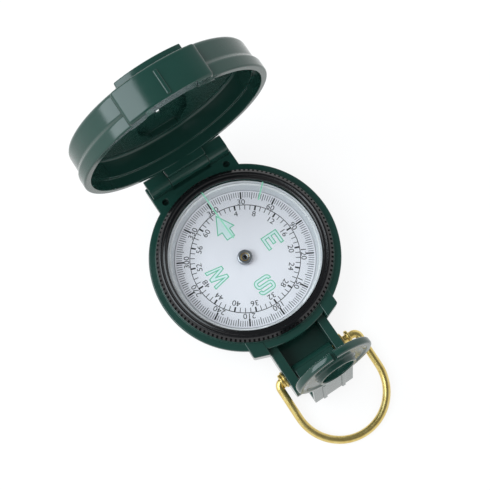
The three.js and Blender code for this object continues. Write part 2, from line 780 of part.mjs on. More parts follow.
/** Outline of the raised boss on the cover, drawn in by a wall thickness. */
function bossOutline(inset) {
  const half = BOSS_HALF_WIDTH - inset;
  const front = coverRadius - BAND_STEP - BOSS_FRONT_SETBACK - inset;
  const edge = THREE.MathUtils.radToDeg(Math.asin(half / front));
  const lean = Math.atan2(BOSS_HALF_WIDTH - BOSS_REAR_HALF, BOSS_REAR_Y - BOSS_SHOULDER_Y);
  const rear = [
    [half, BOSS_SHOULDER_Y - inset * Math.tan(lean / 2)],
    [BOSS_REAR_HALF - inset * Math.tan(Math.PI / 4 - lean / 2), BOSS_REAR_Y - inset],
  ];
  return [...arcPoints(front, -90 - edge, -90 + edge, 8), ...rear, ...mirrored(rear)];
}

function coverBoss() {
  const top = rimZ + COVER_HEIGHT + BOSS_HEIGHT;
  return plate(bossOutline(0), rimZ + COVER_HEIGHT - COVER_TOP / 2, top);
}

function coverBossHollow() {
  const ceiling = rimZ + COVER_HEIGHT + BOSS_HEIGHT - BOSS_TOP;
  const cup = rimZ + COVER_HEIGHT - COVER_TOP - CEILING_CHAMFER;
  return plate(bossOutline(BOSS_WALL), cup, ceiling);
}

/** Thumb pad on the front of the cover, with its upright centre rib. */
function coverFrontBlock() {
  const low = rimZ;
  const high = low + FRONT_BLOCK_HEIGHT;
  const face = coverRadius + FRONT_BLOCK_STAND;
  const drum = turned([
    [0, low],
    [face - FRONT_BLOCK_CHAMFER, low],
    [face, low + FRONT_BLOCK_CHAMFER],
    [face, high - FRONT_BLOCK_CHAMFER],
    [face - FRONT_BLOCK_CHAMFER, high],
    [0, high],
  ]);
  const front = -(coverRadius + FRONT_BLOCK_STAND + FRONT_RIB_STAND);
  const window = block([-FRONT_BLOCK_HALF, front, low], [FRONT_BLOCK_HALF, 0, high]);
  const ribLow = low + FRONT_RIB_LOW;
  const rib = block(
    [-FRONT_RIB_WIDTH / 2, front, ribLow],
    [FRONT_RIB_WIDTH / 2, -coverRadius, ribLow + FRONT_RIB_HEIGHT],
  );
  return joined(drum.intersect(window), rib);
}

/** Shallow cut in the mouth of the cover, where the neck of the folded bracket passes. */
function coverNotch() {
  const front = -(coverRadius + FRONT_BLOCK_STAND + CUT_OVERRUN);
  const half = LEG_HALF_WIDTH + NOTCH_SIDE;
  return block([-half, front, rimZ - CUT_OVERRUN], [half, 0, notchTop]);
}

/** Sighting slot in the boss, flared to the inside like a short pyramid. */
function sightFunnel() {
  const outer = rimZ + COVER_HEIGHT + BOSS_HEIGHT;
  const [low, high] = [outer - BOSS_TOP - CUT_OVERRUN / 2, outer + SEAT_GAP];
  const flared = (slot, mouth, z) => slot + ((mouth - slot) * (outer - z)) / BOSS_TOP;
  const geometry = new THREE.BoxGeometry(1, 1, 1);
  const points = geometry.attributes.position;
  for (let i = 0; i < points.count; i += 1) {
    const z = points.getZ(i) < 0 ? low : high;
    const width = flared(SIGHT_WIDTH, SIGHT_FUNNEL_WIDTH, z);
    const length = flared(SIGHT_LENGTH, SIGHT_FUNNEL_LENGTH, z);
    points.setXYZ(i, points.getX(i) * width, points.getY(i) * length + SIGHT_Y, z);
  }
  return solid(geometry);
}

/** Middle knuckle and the web that joins it to the back of the cover. */
function coverKnuckle() {
  const webTop = rimZ + RIM_BAND_HEIGHT;
  const web = block(
    [-COVER_KNUCKLE_HALF, coverRadius - COVER_WALL, hingeZ],
    [COVER_KNUCKLE_HALF, hingeY + KNUCKLE_RADIUS / 2, webTop],
  );
  return joined(web, crossBar(KNUCKLE_RADIUS, -COVER_KNUCKLE_HALF, COVER_KNUCKLE_HALF, hingeY, hingeZ));
}

function coverPinBore() {
  const end = COVER_KNUCKLE_HALF + CUT_OVERRUN;
  return crossBar(HINGE_PIN_RADIUS + TURNED_GAP, -end, end, hingeY, hingeZ);
}

function coverHingePin() {
  const end = CASE_KNUCKLE_END - SEAT_GAP;
  return crossBar(HINGE_PIN_RADIUS, -end, end, hingeY, hingeZ, BOSS_FACETS);
}

// Lens bracket, drawn folded over the dial, with its barrel on the origin

function lensBracket() {
  const legTop = LEG_BACK + LEG_THICKNESS;
  const leg = block([-LEG_HALF_WIDTH, LEG_BACK, 0], [LEG_HALF_WIDTH, legTop, neckOuter]);
  const neckEnd = DISC_REACH - DISC_RADIUS + NECK_LAP;
  const neck = block([-LEG_HALF_WIDTH, LEG_BACK, neckInner], [LEG_HALF_WIDTH, neckEnd, neckOuter]);
  const barrelEnd = armInner - BARREL_SIDE_GAP;
  const barrel = crossBar(BARREL_RADIUS, -barrelEnd, barrelEnd, 0, 0);
  const ribs = [-NECK_RIB_X, NECK_RIB_X].map((x) =>
    block(
      [x - NECK_RIB_WIDTH / 2, LEG_BACK - NECK_RIB_STAND, neckOuter - NECK_THICKNESS / 2],
      [x + NECK_RIB_WIDTH / 2, LEG_BACK + NECK_RIB_LENGTH, ribOuter],
    ),
  );
  const end = LEG_HALF_WIDTH + CUT_OVERRUN;
  const bore = crossBar(BARREL_BORE_RADIUS, -end, end, 0, 0);
  const notchEnd = DISC_REACH + DISC_RADIUS;
  const notch = block(
    [-SIGHT_NOTCH_WIDTH / 2, notchEnd - SIGHT_NOTCH_DEPTH, discInner - CUT_OVERRUN],
    [SIGHT_NOTCH_WIDTH / 2, notchEnd + CUT_OVERRUN, discOuter + CUT_OVERRUN],
  );
  const body = joined(leg, neck, barrel, ...ribs, eyeDisc());
  return cut(body, bore, notch, eyeOpening());
}

/** Round head of the bracket: a dished disc with a raised eye collar, and the lens holder behind it. */
function eyeDisc() {
  const dish = discOuter - DISH_DEPTH;
  const collar = EYE_RADIUS + EYE_COLLAR_WALL;
  const holder = EYE_RADIUS + LENS_EDGE_LAP + TURNED_GAP + LENS_SEAT_WALL;
  const disc = turned([
    [0, lensHolderInner],
    [holder, lensHolderInner],
    [holder, discInner],
    [DISC_RADIUS - DISC_ROUND, discInner],
    [DISC_RADIUS, discInner + DISC_ROUND],
    [DISC_RADIUS, discOuter - DISC_ROUND],
    [DISC_RADIUS - DISC_ROUND, discOuter],
    [RIM_RING_INNER, discOuter],
    [DISH_OUTER, dish],
    [DISH_INNER, dish],
    [collar + EYE_COLLAR_ROUND, discOuter],
    [collar, eyeCollarTop - EYE_COLLAR_ROUND],
    [collar - EYE_COLLAR_ROUND, eyeCollarTop],
    [0, eyeCollarTop],
  ]);
  return disc.translate([0, DISC_REACH, 0]);
}

/** Eye opening through the head, with the lens seat on the inner side. */
function eyeOpening() {
  const seat = EYE_RADIUS + LENS_EDGE_LAP + TURNED_GAP;
  const seatTop = lensHolderInner + RETAINER_THICKNESS + EYE_LENS_EDGE + 2 * TURNED_GAP;
  const opening = turned([
    [0, lensHolderInner - CUT_OVERRUN],
    [seat, lensHolderInner - CUT_OVERRUN],
    [seat, seatTop],
    [EYE_RADIUS, seatTop],
    [EYE_RADIUS, eyeCollarTop + CUT_OVERRUN],
    [0, eyeCollarTop + CUT_OVERRUN],
  ]);
  return opening.translate([0, DISC_REACH, 0]);
}

function magnifierLens() {
  const radius = EYE_RADIUS + LENS_EDGE_LAP;
  const bottom = lensHolderInner + RETAINER_THICKNESS + TURNED_GAP;
  const edge = bottom + EYE_LENS_EDGE;
  const dome = EYE_RADIUS - TURNED_GAP;
  const crown = Array.from({ length: 6 }, (_, i) => {
    const share = i / 5;
    return [dome * (1 - share), edge + EYE_LENS_DOME * (1 - (1 - share) ** 2)];
  });
  const lens = turned([[0, bottom], [radius, bottom], [radius, edge], ...crown], INNER_FACETS);
  return lens.translate([0, DISC_REACH, 0]);
}

function lensRetainer() {
  const outer = EYE_RADIUS + LENS_EDGE_LAP;
  const top = lensHolderInner + RETAINER_THICKNESS;
  const ring = tube(outer - RETAINER_WIDTH, outer, lensHolderInner, top, INNER_FACETS);
  return ring.translate([0, DISC_REACH, 0]);
}

// Thumb loop, drawn level with its pivots on the origin, and the eyelets in the arms

/** Centre line of the loop: stretches joined end to end, each with its own number of steps. */
class LoopPath extends THREE.Curve {
  constructor(stretches) {
    super();
    this.stretches = stretches;
    this.steps = stretches.reduce((sum, [, steps]) => sum + steps, 0);
  }

  getUtoTmapping(share) {
    return share;
  }

  getPoint(share, target = new THREE.Vector3()) {
    let place = share * this.steps;
    let index = 0;
    while (index < this.stretches.length - 1 && place > this.stretches[index][1]) {
      place -= this.stretches[index][1];
      index += 1;
    }
    const [curve, steps] = this.stretches[index];
    const { x, y } = curve.getPoint(place / steps);
    return target.set(x, y, 0);
  }
}

/** Wire loop, pushed along its pivots so far that its left collar meets the left eyelet. */
function thumbLoop() {
  const legEnd = LOOP_HALF - LOOP_REACH;
  const inside = eyeletFace - LOOP_END_DEPTH;
  const bend = LOOP_BEND_RADIUS;
  const [left, right] = [LOOP_SLIDE - LOOP_HALF, LOOP_SLIDE + LOOP_HALF];
  const line = (...ends) => new THREE.LineCurve(...ends.map((end) => new THREE.Vector2(...end)));
  const arc = (x, y, radius, from, to) => new THREE.EllipseCurve(x, y, radius, radius, from, to);
  const path = new LoopPath([
    [line([-inside, 0], [left + bend, 0]), 1],
    [arc(left + bend, -bend, bend, Math.PI / 2, Math.PI), 4],
    [line([left, -bend], [left, legEnd]), 1],
    [arc(LOOP_SLIDE, legEnd, LOOP_HALF, Math.PI, 2 * Math.PI), 24],
    [line([right, legEnd], [right, -bend]), 1],
    [arc(right - bend, -bend, bend, 0, Math.PI / 2), 4],
    [line([right - bend, 0], [inside, 0]), 1],
  ]);
  const corners = arcPoints(WIRE_RADIUS, 0, 360, WIRE_FACETS).slice(0, WIRE_FACETS);
  const section = new THREE.Shape(corners.map(([x, y]) => new THREE.Vector2(x, y)));
  const options = { steps: path.steps, bevelEnabled: false, extrudePath: path };
  const wire = solid(new THREE.ExtrudeGeometry(section, options));
  const near = eyeletFace + LOOP_COLLAR_GAP;
  const collarStarts = [-near - LOOP_COLLAR_LENGTH, near + LOOP_SLIDE];
  const collars = collarStarts.map((from) =>
    crossBar(LOOP_COLLAR_RADIUS, from, from + LOOP_COLLAR_LENGTH, 0, 0),
  );
  return joined(wire, ...collars);
}

/** Flanged brass eyelet in one arm: the bracket turns on its tail and the loop in its bore. */
function bailEyelet(side) {
  const flangeStart = armOuter + SEAT_GAP;
  const tail = armInner - ARM_SIDE_GAP - EYELET_TAIL;
  const eyelet = turnedRing(
    [
      [eyeletBore, tail],
      [eyeletTube, tail],
      [eyeletTube, flangeStart],
      [EYELET_FLANGE_RADIUS, flangeStart],
      [EYELET_FLANGE_RADIUS, flangeStart + EYELET_FLANGE_THICKNESS],
      [eyeletBore, flangeStart + EYELET_FLANGE_THICKNESS],
    ],
    BOSS_FACETS,
  );
  return eyelet.rotate([0, side * 90, 0]).translate([0, bracketAxisY, BRACKET_AXIS_Z]);
}

// Materials

function finish(color, roughness, metalness = 0) {
  return () => new THREE.MeshStandardMaterial({ color, roughness, metalness });
}

const greenPlastic = finish(0x1f463e, 0.35);
const blackPlastic = finish(0x1a1b1d, 0.35);
const whitePlastic = finish(0xe6e8e6, 0.5);
const clearPlastic = finish(0xeaf2f0, 0.08);
const cardFace = finish(0xf1f3f2, 0.6);
const brass = finish(0xcbb25a, 0.3, 1);
const steel = finish(0x9aa0a3, 0.35, 1);
const darkSteel = finish(0x6c7074, 0.4, 1);
const rubber = finish(0x222324, 0.8);
const silicone = finish(0xe4e6e4, 0.6);
const ruby = finish(0x3a2a20, 0.15);

// Assembly

const compass = new THREE.Group();

/** Adds a named piece to a group, its geometry taken about the group's origin. */
function addPiece(group, name, body, material, origin) {
  const mesh = new THREE.Mesh(geometryAbout(body, origin), material());
  mesh.name = name;
  group.add(mesh);
}

addPiece(compass, 'case_body', caseBody(), greenPlastic);
addPiece(compass, 'cover_hinge_pin', coverHingePin(), steel);
addPiece(compass, 'capsule_bowl', capsuleBowl(), whitePlastic);
addPiece(compass, 'capsule_seal', capsuleSeal(), silicone);
addPiece(compass, 'capsule_lens', capsuleLens(), clearPlastic);
addPiece(compass, 'fill_plug', fillPlug(), rubber);
addPiece(compass, 'pivot_post', pivotPost(), brass);
addPiece(compass, 'pivot_pin', pivotPin(), steel);
addPiece(compass, 'dial_card', dialCard(), cardFace);
addPiece(compass, 'dial_magnet', dialMagnet(), darkSteel);
addPiece(compass, 'dial_hub', dialHub(), steel);
addPiece(compass, 'jewel_setting', jewelSetting(), brass);
addPiece(compass, 'jewel', jewel(), ruby);
addPiece(compass, 'bezel_ring', bezelRing(), blackPlastic);
addPiece(compass, 'bezel_crystal', bezelCrystal(), clearPlastic);
addPiece(compass, 'bezel_snap_ring', bezelSnapRing(), steel);
addPiece(compass, 'bezel_click_spring', bezelClickSpring(), steel);
addPiece(compass, 'bail_eyelet_left', bailEyelet(-1), brass);
addPiece(compass, 'bail_eyelet_right', bailEyelet(1), brass);

const coverHinge = new THREE.Group();
coverHinge.position.set(0, hingeY, hingeZ);
coverHinge.rotation.x = THREE.MathUtils.degToRad(-COVER_OPEN_DEGREES);
addPiece(coverHinge, 'cover_shell', coverShell(), greenPlastic, [0, hingeY, hingeZ]);
compass.add(coverHinge);

const bracketHinge = new THREE.Group();
bracketHinge.position.set(0, bracketAxisY, BRACKET_AXIS_Z);
bracketHinge.rotation.x = THREE.MathUtils.degToRad(BRACKET_OPEN_DEGREES);
addPiece(bracketHinge, 'lens_bracket', lensBracket(), greenPlastic);
addPiece(bracketHinge, 'magnifier_lens', magnifierLens(), clearPlastic);
addPiece(bracketHinge, 'lens_retainer', lensRetainer(), blackPlastic);
compass.add(bracketHinge);

// The loop hangs from its pivots until its far end lies just above the surface under the case.
const loopDroop = Math.asin((BRACKET_AXIS_Z - WIRE_RADIUS - LOOP_FLOOR_GAP) / LOOP_REACH);
const loopPivot = new THREE.Group();
loopPivot.position.set(0, bracketAxisY, BRACKET_AXIS_Z);
loopPivot.rotation.x = loopDroop;
addPiece(loopPivot, 'thumb_loop', thumbLoop(), brass);
compass.add(loopPivot);

export default compass;
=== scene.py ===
"""Looks of a folding lensatic compass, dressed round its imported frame.

Lengths are in millimetres in the part's own frame until a piece is placed: X runs along the cover hinge,
Y points from the dial centre to that hinge, Z is up, and the origin is the centre of the case bottom.
"""

import logging
import math
from dataclasses import dataclass
from enum import Enum
from typing import Callable, Iterable, Sequence

import bmesh
import bpy
from mathutils import Matrix, Vector


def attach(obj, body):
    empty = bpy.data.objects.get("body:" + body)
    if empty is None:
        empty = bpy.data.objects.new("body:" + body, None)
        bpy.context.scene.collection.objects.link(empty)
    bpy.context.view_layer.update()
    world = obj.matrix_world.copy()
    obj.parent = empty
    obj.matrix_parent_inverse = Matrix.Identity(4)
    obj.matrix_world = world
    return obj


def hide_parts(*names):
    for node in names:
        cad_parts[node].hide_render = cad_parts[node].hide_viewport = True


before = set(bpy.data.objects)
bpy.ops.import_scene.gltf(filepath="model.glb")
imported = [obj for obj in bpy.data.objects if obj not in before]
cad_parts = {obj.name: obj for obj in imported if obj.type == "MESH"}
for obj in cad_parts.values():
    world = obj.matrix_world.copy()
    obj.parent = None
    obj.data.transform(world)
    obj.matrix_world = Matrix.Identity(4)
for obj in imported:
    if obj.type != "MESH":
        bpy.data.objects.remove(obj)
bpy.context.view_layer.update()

LOG = logging.getLogger("compass")
MM = 0.001
FULL_TURN = 2 * math.pi
QUARTER_TURN = math.pi / 2
RING_STEPS = 192
LENS_STEPS = 96
SMALL_STEPS = 64
CORNER_STEPS = 4
SHARP_DEGREES = 40.0
WELD = 1e-4
OVERRUN = 1.0
MOUTH_RISE = 0.02
ALONG_X = Matrix.Rotation(QUARTER_TURN, 4, "Y")
WHITE = (1, 1, 1, 1)
Point = Sequence[float]
Colour = tuple[float, float, float, float]
Edges = list[bmesh.types.BMEdge]
Socket = bpy.types.NodeSocket

# Axes and fits that several parts share
HINGE_Y = 31.0
HINGE_Z = 13.0
KNUCKLE_RADIUS = 2.3
PIN_BORE = 0.95
AXIS_Y = -36.0
AXIS_Z = 4.3
SNAP_LOW = 12.15
SNAP_HIGH = 12.5


class Act(Enum):
    """Ways in which one solid acts on another."""

    JOIN = "UNION"
    CUT = "DIFFERENCE"
    KEEP = "INTERSECT"


class Body(Enum):
    """Bodies of the frame that pieces ride on."""

    CASE = "case"
    COVER = "cover"
    BRACKET = "bracket"
    LOOP = "loop"
    BEZEL = "bezel"
    DIAL = "dial"


class Slot(Enum):
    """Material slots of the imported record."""

    GREEN = "green_plastic"
    BLACK = "black_plastic"
    WHITE = "white_plastic"
    CLEAR = "clear_plastic"
    CARD = "dial_face"
    STEEL = "steel"
    BRASS = "brass"
    SILICONE = "silicone"
    JEWEL = "jewel"


class Weight(Enum):
    """Weights of the printed strokes, in millimetres."""

    FINE = 0.16
    LINE = 0.2
    BOLD = 0.46


def linear(colour: Point) -> Colour:
    """Turn a display colour into the linear one that shaders use.

    Args:
        colour: Red, green and blue from 0 to 255.

    Returns:
        The linear colour with full alpha.
    """
    shares = [value / 255 for value in colour]
    flat = [s / 12.92 if s <= 0.04045 else ((s + 0.055) / 1.055) ** 2.4 for s in shares]
    return (*flat, 1.0)


def shade(colour: Point, factor: float) -> Colour:
    """A colour made lighter or darker."""
    return (*[min(1.0, value * factor) for value in colour[:3]], 1.0)


def spun(degrees: float, axis: str = "Z") -> Matrix:
    """Matrix that turns about an axis through the origin."""
    return Matrix.Rotation(math.radians(degrees), 4, axis)


def standing(near: float, way: int) -> Matrix:
    """Matrix that stands a plate on edge from near along X, its outline's first axis along Y times way."""
    return Matrix(((0, 0, 1, near), (way, 0, 0, 0), (0, 1, 0, 0), (0, 0, 0, 1)))


def arc(radius: float, start: float, end: float, steps: int) -> list[Point]:
    """Points on a circle round the origin, between two angles in radians."""
    turns = [start + (end - start) * i / steps for i in range(steps + 1)]
    return [(radius * math.cos(turn), radius * math.sin(turn)) for turn in turns]


def mirrored(points: Sequence[Point]) -> list[Point]:
    """The points on the other side of x = 0, in the opposite order."""
    return [(-point[0], *point[1:]) for point in reversed(points)]


def placed(name: str, data: bpy.types.ID) -> bpy.types.Object:
    """Put an object into the scene.

    Args:
        name: Name of the object.
        data: Mesh, curve, camera or light that it shows.

    Returns:
        The object.
    """
    thing = bpy.data.objects.new(name, data)
    bpy.context.scene.collection.objects.link(thing)
    return thing


class Form:
    """A mesh being shaped with bmesh operators, in millimetres."""

    def __init__(self) -> None:
        """Start with an empty mesh."""
        self.mesh = bmesh.new()

    @classmethod
    def turned(cls, profile: Sequence[Point], steps: int = RING_STEPS, closed: bool = False) -> "Form":
        """Spin a profile about Z.

        Args:
            profile: Radius and height of each point, and a third number where that corner is rounded.
            steps: Facets in the full turn.
            closed: True where the profile returns to its first point, as in a ring.

        Returns:
            The solid of revolution.
        """
        form = cls()
        form._wire([((p[0], 0, p[1]), p[2] if len(p) > 2 else 0) for p in profile], closed)
        bmesh.ops.spin(
            form.mesh,
            geom=form.mesh.verts[:] + form.mesh.edges[:],
            cent=(0, 0, 0),
            axis=(0, 0, 1),
            angle=FULL_TURN,
            steps=steps,
            use_merge=True,
        )
        return form.sewn()

    @classmethod
    def disc(
        cls, radius: float, low: float, high: float, soft: float = 0.0, steps: int = RING_STEPS
    ) -> "Form":
        """Disc about Z between two heights, its edges rounded by soft."""
        return cls.turned([(0, low), (radius, low, soft), (radius, high, soft), (0, high)], steps)

    @classmethod
    def ring(
        cls, radii: Point, heights: Point, soft: Point = (0, 0), steps: int = RING_STEPS
    ) -> "Form":
        """Turn a ring of plain section about Z.

        Args:
            radii: Inner and outer radius.
            heights: Height of the underside and of the top.
            soft: Rounding of the inner and of the outer edges.
            steps: Facets in the full turn.

        Returns:
            The ring.
        """
        (inner, outer), (low, high), (near, far) = radii, heights, soft
        section = [(inner, low, near), (outer, low, far), (outer, high, far), (inner, high, near)]
        return cls.turned(section, steps, closed=True)

    @classmethod
    def bar(cls, radius: float, start: float, end: float, soft: float = 0.0) -> "Form":
        """Round bar along X on the axis, its end edges rounded by soft."""
        return cls.disc(radius, start, end, soft, SMALL_STEPS).moved(ALONG_X)

    @classmethod
    def drill(cls, radius: float, half: float) -> "Form":
        """Tool for a round hole along X, through a part that reaches half to each side."""
        return cls.bar(radius, -half - OVERRUN, half + OVERRUN)

    @classmethod
    def plate(cls, outline: Sequence[Point], low: float, high: float) -> "Form":
        """Raise a flat outline from one height to another.

        Args:
            outline: x and y of each corner, and a third number where that corner is rounded.
            low: Height of the underside.
            high: Height of the top.

        Returns:
            The raised plate.
        """
        form = cls()
        form._wire([((p[0], p[1], low), p[2] if len(p) > 2 else 0) for p in outline], True)
        bmesh.ops.contextual_create(form.mesh, geom=form.mesh.edges[:])
        return form.raised(high - low).sewn()

    @classmethod
    def block(cls, low: Point, high: Point, soft: float = 0.0) -> "Form":
        """Make a box.

        Args:
            low: Its lowest corner.
            high: Its highest corner.
            soft: Rounding of its edges.

        Returns:
            The box.
        """
        form = cls()
        size = [b - a for a, b in zip(low, high)]
        middle = [(a + b) / 2 for a, b in zip(low, high)]
        form.add_cube(Matrix.Translation(middle) @ Matrix.Diagonal((*size, 1)))
        return form.softened(soft) if soft else form

    def _wire(self, points: Sequence[tuple[Point, float]], closed: bool) -> None:
        """Draw a line of edges and round the corners that ask for it.

        Args:
            points: Place of each corner and the length by which it is rounded.
            closed: True to join the last corner to the first.
        """
        corners = [self.mesh.verts.new(place) for place, _ in points]
        ends = zip(corners, corners[1:] + corners[:1] if closed else corners[1:])
        for pair in ends:
            self.mesh.edges.new(pair)
        for corner, (_, soft) in zip(corners, points):
            if soft:
                bmesh.ops.bevel(
                    self.mesh,
                    geom=[corner],
                    offset=soft,
                    segments=CORNER_STEPS,
                    profile=0.5,
                    affect="VERTICES",
                    material=-1,
                )

    def add_cube(self, place: Matrix) -> None:
        """Add a cube of side 1, placed and sized by a matrix."""
        bmesh.ops.create_cube(self.mesh, size=1, matrix=place)

    def raised(self, height: float) -> "Form":
        """Extrude every face straight up.

        Args:
            height: How far the faces go up.

        Returns:
            This form.
        """
        made = bmesh.ops.extrude_face_region(self.mesh, geom=self.mesh.faces[:])
        tops = [item for item in made["geom"] if isinstance(item, bmesh.types.BMVert)]
        bmesh.ops.translate(self.mesh, verts=tops, vec=(0, 0, height))
        return self

    def drawn(self, edges: Edges, along: Point) -> Edges:
        """Draw out the open end of a wire or a ribbon.

        Args:
            edges: Edges of the open end.
            along: Way in which it is drawn out.

        Returns:
            Edges of the new end.
        """
        made = bmesh.ops.extrude_edge_only(self.mesh, edges=edges)["geom"]
        tips = [item for item in made if isinstance(item, bmesh.types.BMVert)]
        bmesh.ops.translate(self.mesh, verts=tips, vec=along)
        ends = [item for item in made if isinstance(item, bmesh.types.BMEdge)]
        return [edge for edge in ends if set(edge.verts) <= set(tips)]

    def bent(self, edges: Edges, centre: Point, angle: float, steps: int) -> Edges:
        """Bend the open end of a wire or a ribbon in the XY plane.

        Args:
            edges: Edges of the open end.
            centre: Centre of the bend.
            angle: Angle of the bend in radians.
            steps: Facets along the bend.

        Returns:
            Edges of the new end.
        """
        geometry = edges + list(dict.fromkeys(v for e in edges for v in e.verts))
        made = bmesh.ops.spin(self.mesh, geom=geometry, cent=centre, axis=(0, 0, 1), angle=angle, steps=steps)
        return [item for item in made["geom_last"] if isinstance(item, bmesh.types.BMEdge)]

    def sewn(self) -> "Form":
        """Merge doubled points and turn every face outwards.

        Returns:
            This form.
        """
        bmesh.ops.remove_doubles(self.mesh, verts=self.mesh.verts[:], dist=WELD)
        bmesh.ops.recalc_face_normals(self.mesh, faces=self.mesh.faces[:])
        return self

    def softened(
        self, width: float, chosen: Callable[[bmesh.types.BMEdge], bool] | None = None, segments: int = 3
    ) -> "Form":
        """Round the sharp edges.

        Args:
            width: How far the rounding reaches from each edge.
            chosen: Test for the edges to round, or None for all sharp ones.
            segments: Facets across the rounding.

        Returns:
            This form.
        """
        sharp = [e for e in self.mesh.edges if e.calc_face_angle(0) > math.radians(SHARP_DEGREES)]
        bmesh.ops.bevel(
            self.mesh,
            geom=[e for e in sharp if chosen is None or chosen(e)],
            offset=width,
            segments=segments,
            profile=0.5,
            affect="EDGES",
            material=-1,
            clamp_overlap=True,
        )
        return self.sewn()

    def moved(self, place: Matrix) -> "Form":
        """Move the whole form by a matrix, and turn its faces outwards again where that mirrors it."""
        bmesh.ops.transform(self.mesh, matrix=place, verts=self.mesh.verts[:])
        return self.sewn() if place.determinant() < 0 else self

    def shifted(self, x: float = 0.0, y: float = 0.0, z: float = 0.0) -> "Form":
        """Move the whole form along the axes."""
        return self.moved(Matrix.Translation((x, y, z)))

    def data(self, name: str) -> bpy.types.Mesh:
        """Copy the form into mesh data.

        Args:
            name: Name of the data.

        Returns:
            The data.
        """
        data = bpy.data.meshes.new(name)
        self.mesh.to_mesh(data)
        return data

    def take(self, thing: bpy.types.Object) -> "Form":
        """Take over the final shape of an object.

        Args:
            thing: Object with its modifiers or its text.

        Returns:
            This form.
        """
        graph = bpy.context.evaluated_depsgraph_get()
        data = bpy.data.meshes.new_from_object(thing.evaluated_get(graph))
        self.mesh.clear()
        self.mesh.from_mesh(data)
        bpy.data.meshes.remove(data)
        return self

    def with_loose(self, *others: "Form") -> "Form":
        """Add other meshes beside this one, without joining the solids.

        Args:
            *others: Forms to add, which are used up.

        Returns:
            This form.
        """
        for other in others:
            data = other.data("loose")
            self.mesh.from_mesh(data)
            bpy.data.meshes.remove(data)
            other.mesh.free()
        return self

    def _acted(self, act: Act, others: Iterable["Form"]) -> "Form":
        """Act on this solid with other ones.

        Args:
            act: What is done with them.
            others: The other solids, which are used up.

        Returns:
            This form.
        """
        for other in others:
            own, tool = placed("own", self.data("own")), placed("tool", other.data("tool"))
            step = own.modifiers.new("solid", "BOOLEAN")
            step.operation = act.value
            step.solver = "MANIFOLD"
            step.object = tool
            self.take(own)
            for thing in (own, tool):
                data = thing.data
                bpy.data.objects.remove(thing)
                bpy.data.meshes.remove(data)
            other.mesh.free()
        return self

    def join(self, *others: "Form") -> "Form":
        """Join other solids to this one."""
        return self._acted(Act.JOIN, others)

    def cut(self, *tools: "Form") -> "Form":
        """Cut other solids out of this one."""
        return self._acted(Act.CUT, tools)

    def keep(self, window: "Form") -> "Form":
        """Keep only what lies in another solid."""
        return self._acted(Act.KEEP, [window])

    def piece(
        self,
        name: str,
        body: Body,
        slot: Slot,
        finish: "bpy.types.Material | Sequence[bpy.types.Material]",
        stands_for: Iterable[str] = (),
        crease: float = 32.0,
    ) -> bpy.types.Object:
        """Turn the form into a finished piece of the object.

        Args:
            name: Name of the piece.
            body: Body that it rides on.
            slot: Slot of the record meant for its finish; not used.
            finish: Material, or materials in the order of the face indices.
            stands_for: Nodes that it replaces.
            crease: Angle in degrees past which an edge stays sharp.

        Returns:
            The piece's object, at the origin with its place in its mesh.
        """
        mesh = self.mesh
        bmesh.ops.scale(mesh, vec=(MM, MM, MM), verts=mesh.verts[:])
        for face in mesh.faces:
            face.smooth = True
        for edge in mesh.edges:
            edge.smooth = edge.calc_face_angle(0) < math.radians(crease)
        data = self.data(name)
        mesh.free()
        thing = placed(name, data)
        for material in [finish] if isinstance(finish, bpy.types.Material) else finish:
            data.materials.append(material)
        even = thing.modifiers.new("even_normals", "WEIGHTED_NORMAL")
        even.keep_sharp = True
        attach(thing, body.value)
        if stands_for:
            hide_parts(*stands_for)
        LOG.info("piece %s on %s, %d faces", name, body.value, len(data.polygons))
        return thing


